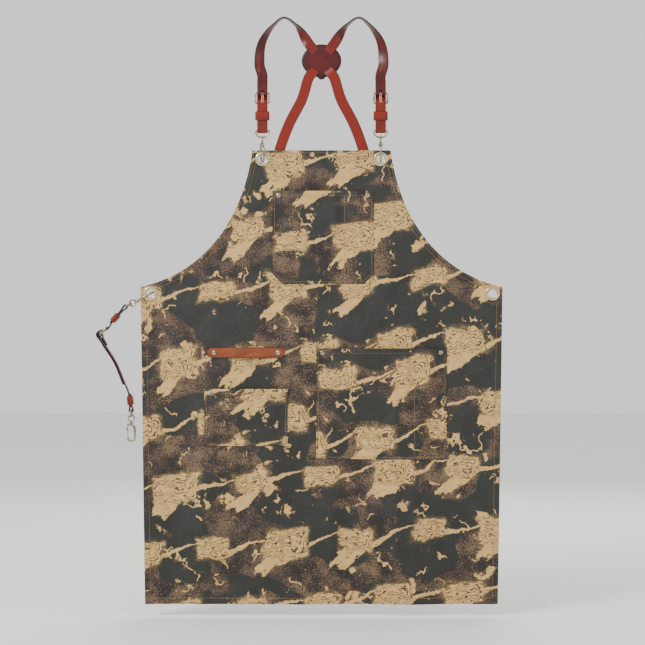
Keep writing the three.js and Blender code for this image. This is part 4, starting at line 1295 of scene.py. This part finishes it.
class ShoulderStrap:
    """One shoulder strap: about the heel bar, over its crown, through the patch and down behind the bib."""

    def __init__(self, side: int) -> None:
        self.side = side
        self.under = 1 if side > 0 else 0
        self.at = Heights()
        self.place = Place(np.array([side * 107.0, 0.0, self.at.ring_bar]), UP, DEEP)

    def through_patch(self) -> tuple[list[Array], Array]:
        """Give the stations through the patch's two slots, and the strap's width there."""
        along = np.array([-self.side * 0.6, 0, -0.8])
        width = np.array([-0.8, 0, self.side * 0.6])
        off = 1.2 + GAP + THICK / 2
        behind = off + self.under * (THICK + 2 * GAP)
        middle = np.array([0, self.at.patch_depth, self.at.patch])
        steps = ((-38, -off), (-27, -off), (-20, 0), (-14, behind), (0, behind), (14, behind), (20, 0), (27, -off),
                 (38, -off))
        return [middle + s * along + y * DEEP for s, y in steps], width

    def stations(self) -> tuple[Array, Array]:
        """Give every station and the direction of the strap's width at each."""
        s, h = self.side, self.at
        start = [(LAYER, HEEL + 24), *doubled_about(HEEL), (-LAYER, HEEL + 32)]
        points = [self.place.at(0, y, z) for y, z in start]
        widths = [ACROSS] * len(start)
        for x, y, z, wide, deep in ((112, 1, 975, 1, -0.15), (108, 4, 1015, 0.8, -0.75),
                                    (88, h.crown_depth, h.crown - 16, 0.25, -1),
                                    (68, h.crown_depth, h.crown - 1.2, 0, -1),
                                    (47, h.crown_depth, h.crown - 14, -0.2, -1)):
            points.append(np.array([s * x, y, z]))
            widths.append(unit(np.array([wide, deep * s, 0.0])))
        patch, width = self.through_patch()
        points += patch
        widths += [width] * len(patch)
        bend = h.loop_top + h.bend_share * (CUT.height - h.loop_top)
        lower = [(35, 5, 915), (58, 3.6, 870), (76, h.behind_bib, CUT.height), (96, h.behind_bib, bend),
                 (120, h.behind_bib, h.loop_top)]
        back, sewn = h.behind_bib + THICK + 5, h.behind_bib + THICK + GAP
        mid = (h.behind_bib + back) / 2
        r = mid - h.behind_bib
        foot = ((h.behind_bib, 30), (h.behind_bib, r), (mid - 0.7 * r, 0.3 * r), (mid, 0), (mid + 0.7 * r, 0.3 * r),
                (back, r), (back, 24), (sewn, 36), (sewn, 54))
        lower += [(120, y, h.foot + z) for y, z in foot]
        points += [np.array([-s * x, y, z]) for x, y, z in lower]
        widths += [ACROSS] * len(lower)
        for i in range(1, len(widths)):
            if widths[i] @ widths[i - 1] < -0.2:
                widths[i] = -widths[i]
        return np.array(points), np.array(widths)

    def shell(self, grown: float = 0.0) -> Shell:
        """Sweep the strap, or the same strap grown all round."""
        points, widths = self.stations()
        path = smooth_path(points, 1.5, widths)
        outline = rounded_outline(WIDE + 2 * grown, THICK + 2 * grown, 0.8, 4, 8)
        return sweep(path[:, :3], path[:, 3:], outline)

    def build(self) -> None:
        """Build the strap, with the slot for the buckle's prong."""
        name = "right" if self.side > 0 else "left"
        strap = add_piece(f"shoulder_{name}_leather", self.shell(), Finish.WINE, "apron",
                          (f"shoulder_strap_{name}",))
        carve(strap, slot_tool(self.place, HEEL, 11.0, 6.0))


class CrossPatch:
    """The oval patch that the two shoulder straps cross behind, with a slot for each pass."""

    def build(self, straps: Sequence[ShoulderStrap]) -> None:
        """Build the oval as rings that shrink to the middle, with a domed front and a small tongue below."""
        turn = np.linspace(0, 2 * math.pi, 96, endpoint=False)
        tongue = 4.2 * np.exp(-(((turn - 1.5 * math.pi) / 0.17) ** 4))
        shares = np.array([1.0, 0.985, 0.95, 0.8, 0.6, 0.4, 0.2, 0.06])
        height = np.array([0.0, 0.55, 0.95, 1.15, 1.35, 1.45, 1.5, 1.5])
        h = Heights()
        rings = []
        for way, order in ((-1, slice(None, None, -1)), (1, slice(1, None))):
            for share, rise in list(zip(shares, height))[order]:
                radius_x, radius_z = 36 * share, 30 * share + tongue * share**6
                thick = min(rise, 1.2) if way > 0 else rise
                rings.append(np.stack([radius_x * np.cos(turn), np.full_like(turn, h.patch_depth + way * thick),
                                       h.patch + radius_z * np.sin(turn)], axis=1))
        points = np.concatenate(rings)
        rows, columns = len(rings), len(turn)
        caps = [list(range(columns)), list(range((rows - 1) * columns, rows * columns))[::-1]]
        shell = Shell(points, lattice(rows, columns), caps).outward()
        reach = np.hypot(points[:, 0] / 36, (points[:, 2] - h.patch) / 30) * 34
        patch = add_piece("cross_patch_leather", shell, Finish.WINE_PATCH, "apron", ("cross_patch",),
                          (points[:, 0] + points[:, 2], reach))
        carve(patch, *(strap.shell(0.3) for strap in straps))


class WaistStrap:
    """The clip-on strap that hangs from the left waist eyelet. Headings are in degrees from +x towards +z."""

    points = 201
    snap_turn = 208.0
    strap_turn = 228.0
    snap_reach = 43.25
    end_eye_drop = 7.7

    def __init__(self) -> None:
        x, z = CUT.waist_eyelet
        self.eyelet = np.array([-x, 0.0, z])
        self.snap_along, self.along = heading(self.snap_turn), heading(self.strap_turn)
        self.bar = np.array([-354.49, 0.0, 538.08])
        self.place = Place(self.bar, self.along, heading(self.strap_turn - 90))
        self.heel = self.place.at(0, 0, HEEL)
        self.end_bar = np.array([-344.0, 0.0, 351.0])
        shift = [(0, 0), (14, -24), (30, -50), (44, -84)]
        line = [self.heel + np.array([x, 0, z]) for x, z in shift]
        line += [self.end_bar + np.array([-3, 0, 30]), self.end_bar]
        self.line = catmull_rom(np.array(line), np.linspace(0, len(line) - 1, self.points))

    def beside(self, share: float, offset: float) -> Array:
        """Give the point at a share of the line, set off to its hidden side."""
        i = share * (self.points - 1)
        point = columns_at(np.array([i]), np.arange(self.points), self.line)[0]
        low = min(int(i), self.points - 2)
        tangent = unit(self.line[low + 1] - self.line[low])
        return point + offset * np.array([tangent[2], 0, -tangent[0]])

    def end_place(self, last: bool) -> Place:
        """Give the axes at the line's start, or at its end and looking back along it."""
        tangent = unit(self.line[-2] - self.line[-1]) if last else unit(self.line[1] - self.line[0])
        return Place(self.end_bar if last else self.heel, tangent, np.array([tangent[2], 0, -tangent[0]]))

    def build(self) -> None:
        """Build the snap, the adjuster set, the strap and what hangs at its end."""
        snap_top = self.eyelet + self.snap_along * self.snap_reach
        TriggerSnap("waist", "waist_assembly", "waist_assembly", "waist_snap_gate").build(
            Place(snap_top, self.snap_along, heading(self.snap_turn - 90)), 90, 180)
        tail = [self.heel + heading(self.strap_turn - 90 + turn) * (OVER_FOLD + GAP)
                for turn in (18, 36, 54, 72)]
        tail += [self.beside(share, OVER_LAYERS + (0.8 if share < 0.2 else 0.1))
                 for share in (0.1, 0.16, 0.24, 0.34, 0.44, 0.54, 0.64)]
        ring_place = Place(self.bar, self.snap_along, heading(self.snap_turn - 90))
        AdjusterSet("waist", self.place, ring_place, "waist_assembly", "waist_assembly").build(np.array(tail))
        head, foot = self.end_place(False), self.end_place(True)
        stations = [head.at(0, y, s) for y, s in [(-LAYER, 22.0), *doubled_about(0, -1)]]
        stations += [self.beside(t, LAYER) for t in (0.2, 0.3, 0.4, 0.5, 0.6, 0.7, 0.8)]
        stations += [foot.at(0, y, s) for y, s in [*doubled_about(0, -1), (LAYER, 30.0)]]
        path = smooth_path(np.array(stations), 1.1)
        strap = add_piece("waist_strap_leather", sweep(path, DEEP, STRAP), Finish.RED, "waist_assembly",
                          ("waist_strap",))
        carve(strap, slot_tool(head, 0.0, 12.0, 7.0))
        add_piece("waist_end_ring_bent", d_ring().placed(Place(self.end_bar, UP, -ACROSS)), Finish.NICKEL,
                  "waist_end_ring", ("waist_end_ring",))
        add_piece("waist_end_keeper_leather", keeper(foot, 10.0), Finish.RED_KEEPER, "waist_end_keeper",
                  ("waist_end_keeper",))
        TriggerSnap("waist_end", "waist_end_snap_eye", "waist_end_snap_hook", "waist_end_snap_gate").build(
            Place(self.end_bar - self.end_eye_drop * UP, UP, -ACROSS), 90, 90)


class Harness:
    """All the leather above the bib and beside the waist."""

    def build(self) -> None:
        """Build the harness."""
        straps = [ShoulderStrap(-1), ShoulderStrap(1)]
        CrossPatch().build(straps)
        for strap in straps:
            strap.build()
            name = "right" if strap.side > 0 else "left"
            tail = np.array([strap.place.at(0, OVER_LAYERS + lift, length)
                             for lift, length in ((0.5, 77.0), (0.1, 92.0))])
            AdjusterSet(f"bib_{name}", strap.place, strap.place, f"bib_{name}_ring", "apron").build(tail)
            top = Place(np.array([strap.side * 107.0, 0.0, Heights().bib_snap_top]), UP, DEEP)
            TriggerSnap(f"bib_{name}", f"bib_{name}_snap_eye", "apron", f"bib_{name}_snap_gate").build(
                top, 90, 90 + (25 if strap.side < 0 else 0))
        WaistStrap().build()


# ---- studio ------------------------------------------------------------------------------------------------


@dataclass(frozen=True)
class Studio:
    """Camera, floor, walls of light and the lamps."""

    distance: float = 4.0
    frame_width: float = 1.167
    sensor: float = 36.0
    aim: tuple[float, float, float] = (0.0018, -0.008, -0.551)
    floor_drop: float = 0.022

    def camera(self) -> None:
        """Set a camera that looks straight at the front, so far off that lines hardly converge."""
        data = bpy.data.cameras.new("front_camera")
        data.sensor_width = self.sensor
        data.lens = self.sensor * self.distance / self.frame_width
        data.clip_end = 60
        camera = bpy.data.objects.new("front_camera", data)
        camera.location = (self.aim[0], self.aim[1] - self.distance, self.aim[2])
        camera.rotation_euler = (math.pi / 2, 0, 0)
        bpy.context.scene.collection.objects.link(camera)
        bpy.context.scene.camera = camera

    def floor(self, height: float) -> bpy.types.Object:
        """Lay a pale floor below the hem."""
        mesh = bpy.data.meshes.new("floor")
        side = 9.0
        corners = [(x * side, y * side, height) for x, y in ((-1, -1), (1, -1), (1, 1), (-1, 1))]
        mesh.from_pydata(corners, [], [(0, 1, 2, 3)])
        g = Graph("floor")
        tone = g.noise(g.object_place(), 2.0, 3.0)
        g.finish(Base_Color=g.mix(g.times(tone, 0.15), linear(240, 240, 238), linear(226, 226, 224)),
                 Roughness=0.85)
        mesh.materials.append(g.material)
        plane = bpy.data.objects.new("floor", mesh)
        bpy.context.scene.collection.objects.link(plane)
        return plane

    def lamp(self, name: str, place: tuple[float, float, float], size: float,
             power: float) -> bpy.types.Object:
        """Hang a square soft lamp that faces the apron."""
        data = bpy.data.lights.new(name, "AREA")
        data.size, data.energy = size, power
        lamp = bpy.data.objects.new(name, data)
        lamp.location = place
        lamp.rotation_euler = (Vector(self.aim) - Vector(place)).to_track_quat("-Z", "Y").to_euler()
        bpy.context.scene.collection.objects.link(lamp)
        return lamp

    def world(self) -> None:
        """Light everything from a white surround."""
        world = bpy.data.worlds.new("surround")
        world.use_nodes = True
        background = world.node_tree.nodes["Background"]
        background.inputs["Color"].default_value = (1.0, 1.0, 1.0, 1.0)
        background.inputs["Strength"].default_value = 1.05
        bpy.context.scene.world = world

    def build(self) -> None:
        """Put up the studio."""
        self.camera()
        self.world()
        hem = float(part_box("apron_panel")[0][2])
        self.floor(hem - self.floor_drop)
        self.lamp("key", (-1.9, -2.4, 1.3), 1.2, 95)
        self.lamp("fill", (2.4, -2.8, 0.0), 2.2, 20)
        self.lamp("back", (0.6, 2.4, 0.9), 1.8, 34)


def main() -> None:
    """Build the apron and its studio."""
    logging.basicConfig(level=logging.INFO)
    ApronPanel().build()
    for pouch in POUCHES:
        pouch.build()
    Seams().build()
    Fittings().build()
    Harness().build()
    Studio().build()


if __name__ == "__main__":
    main()
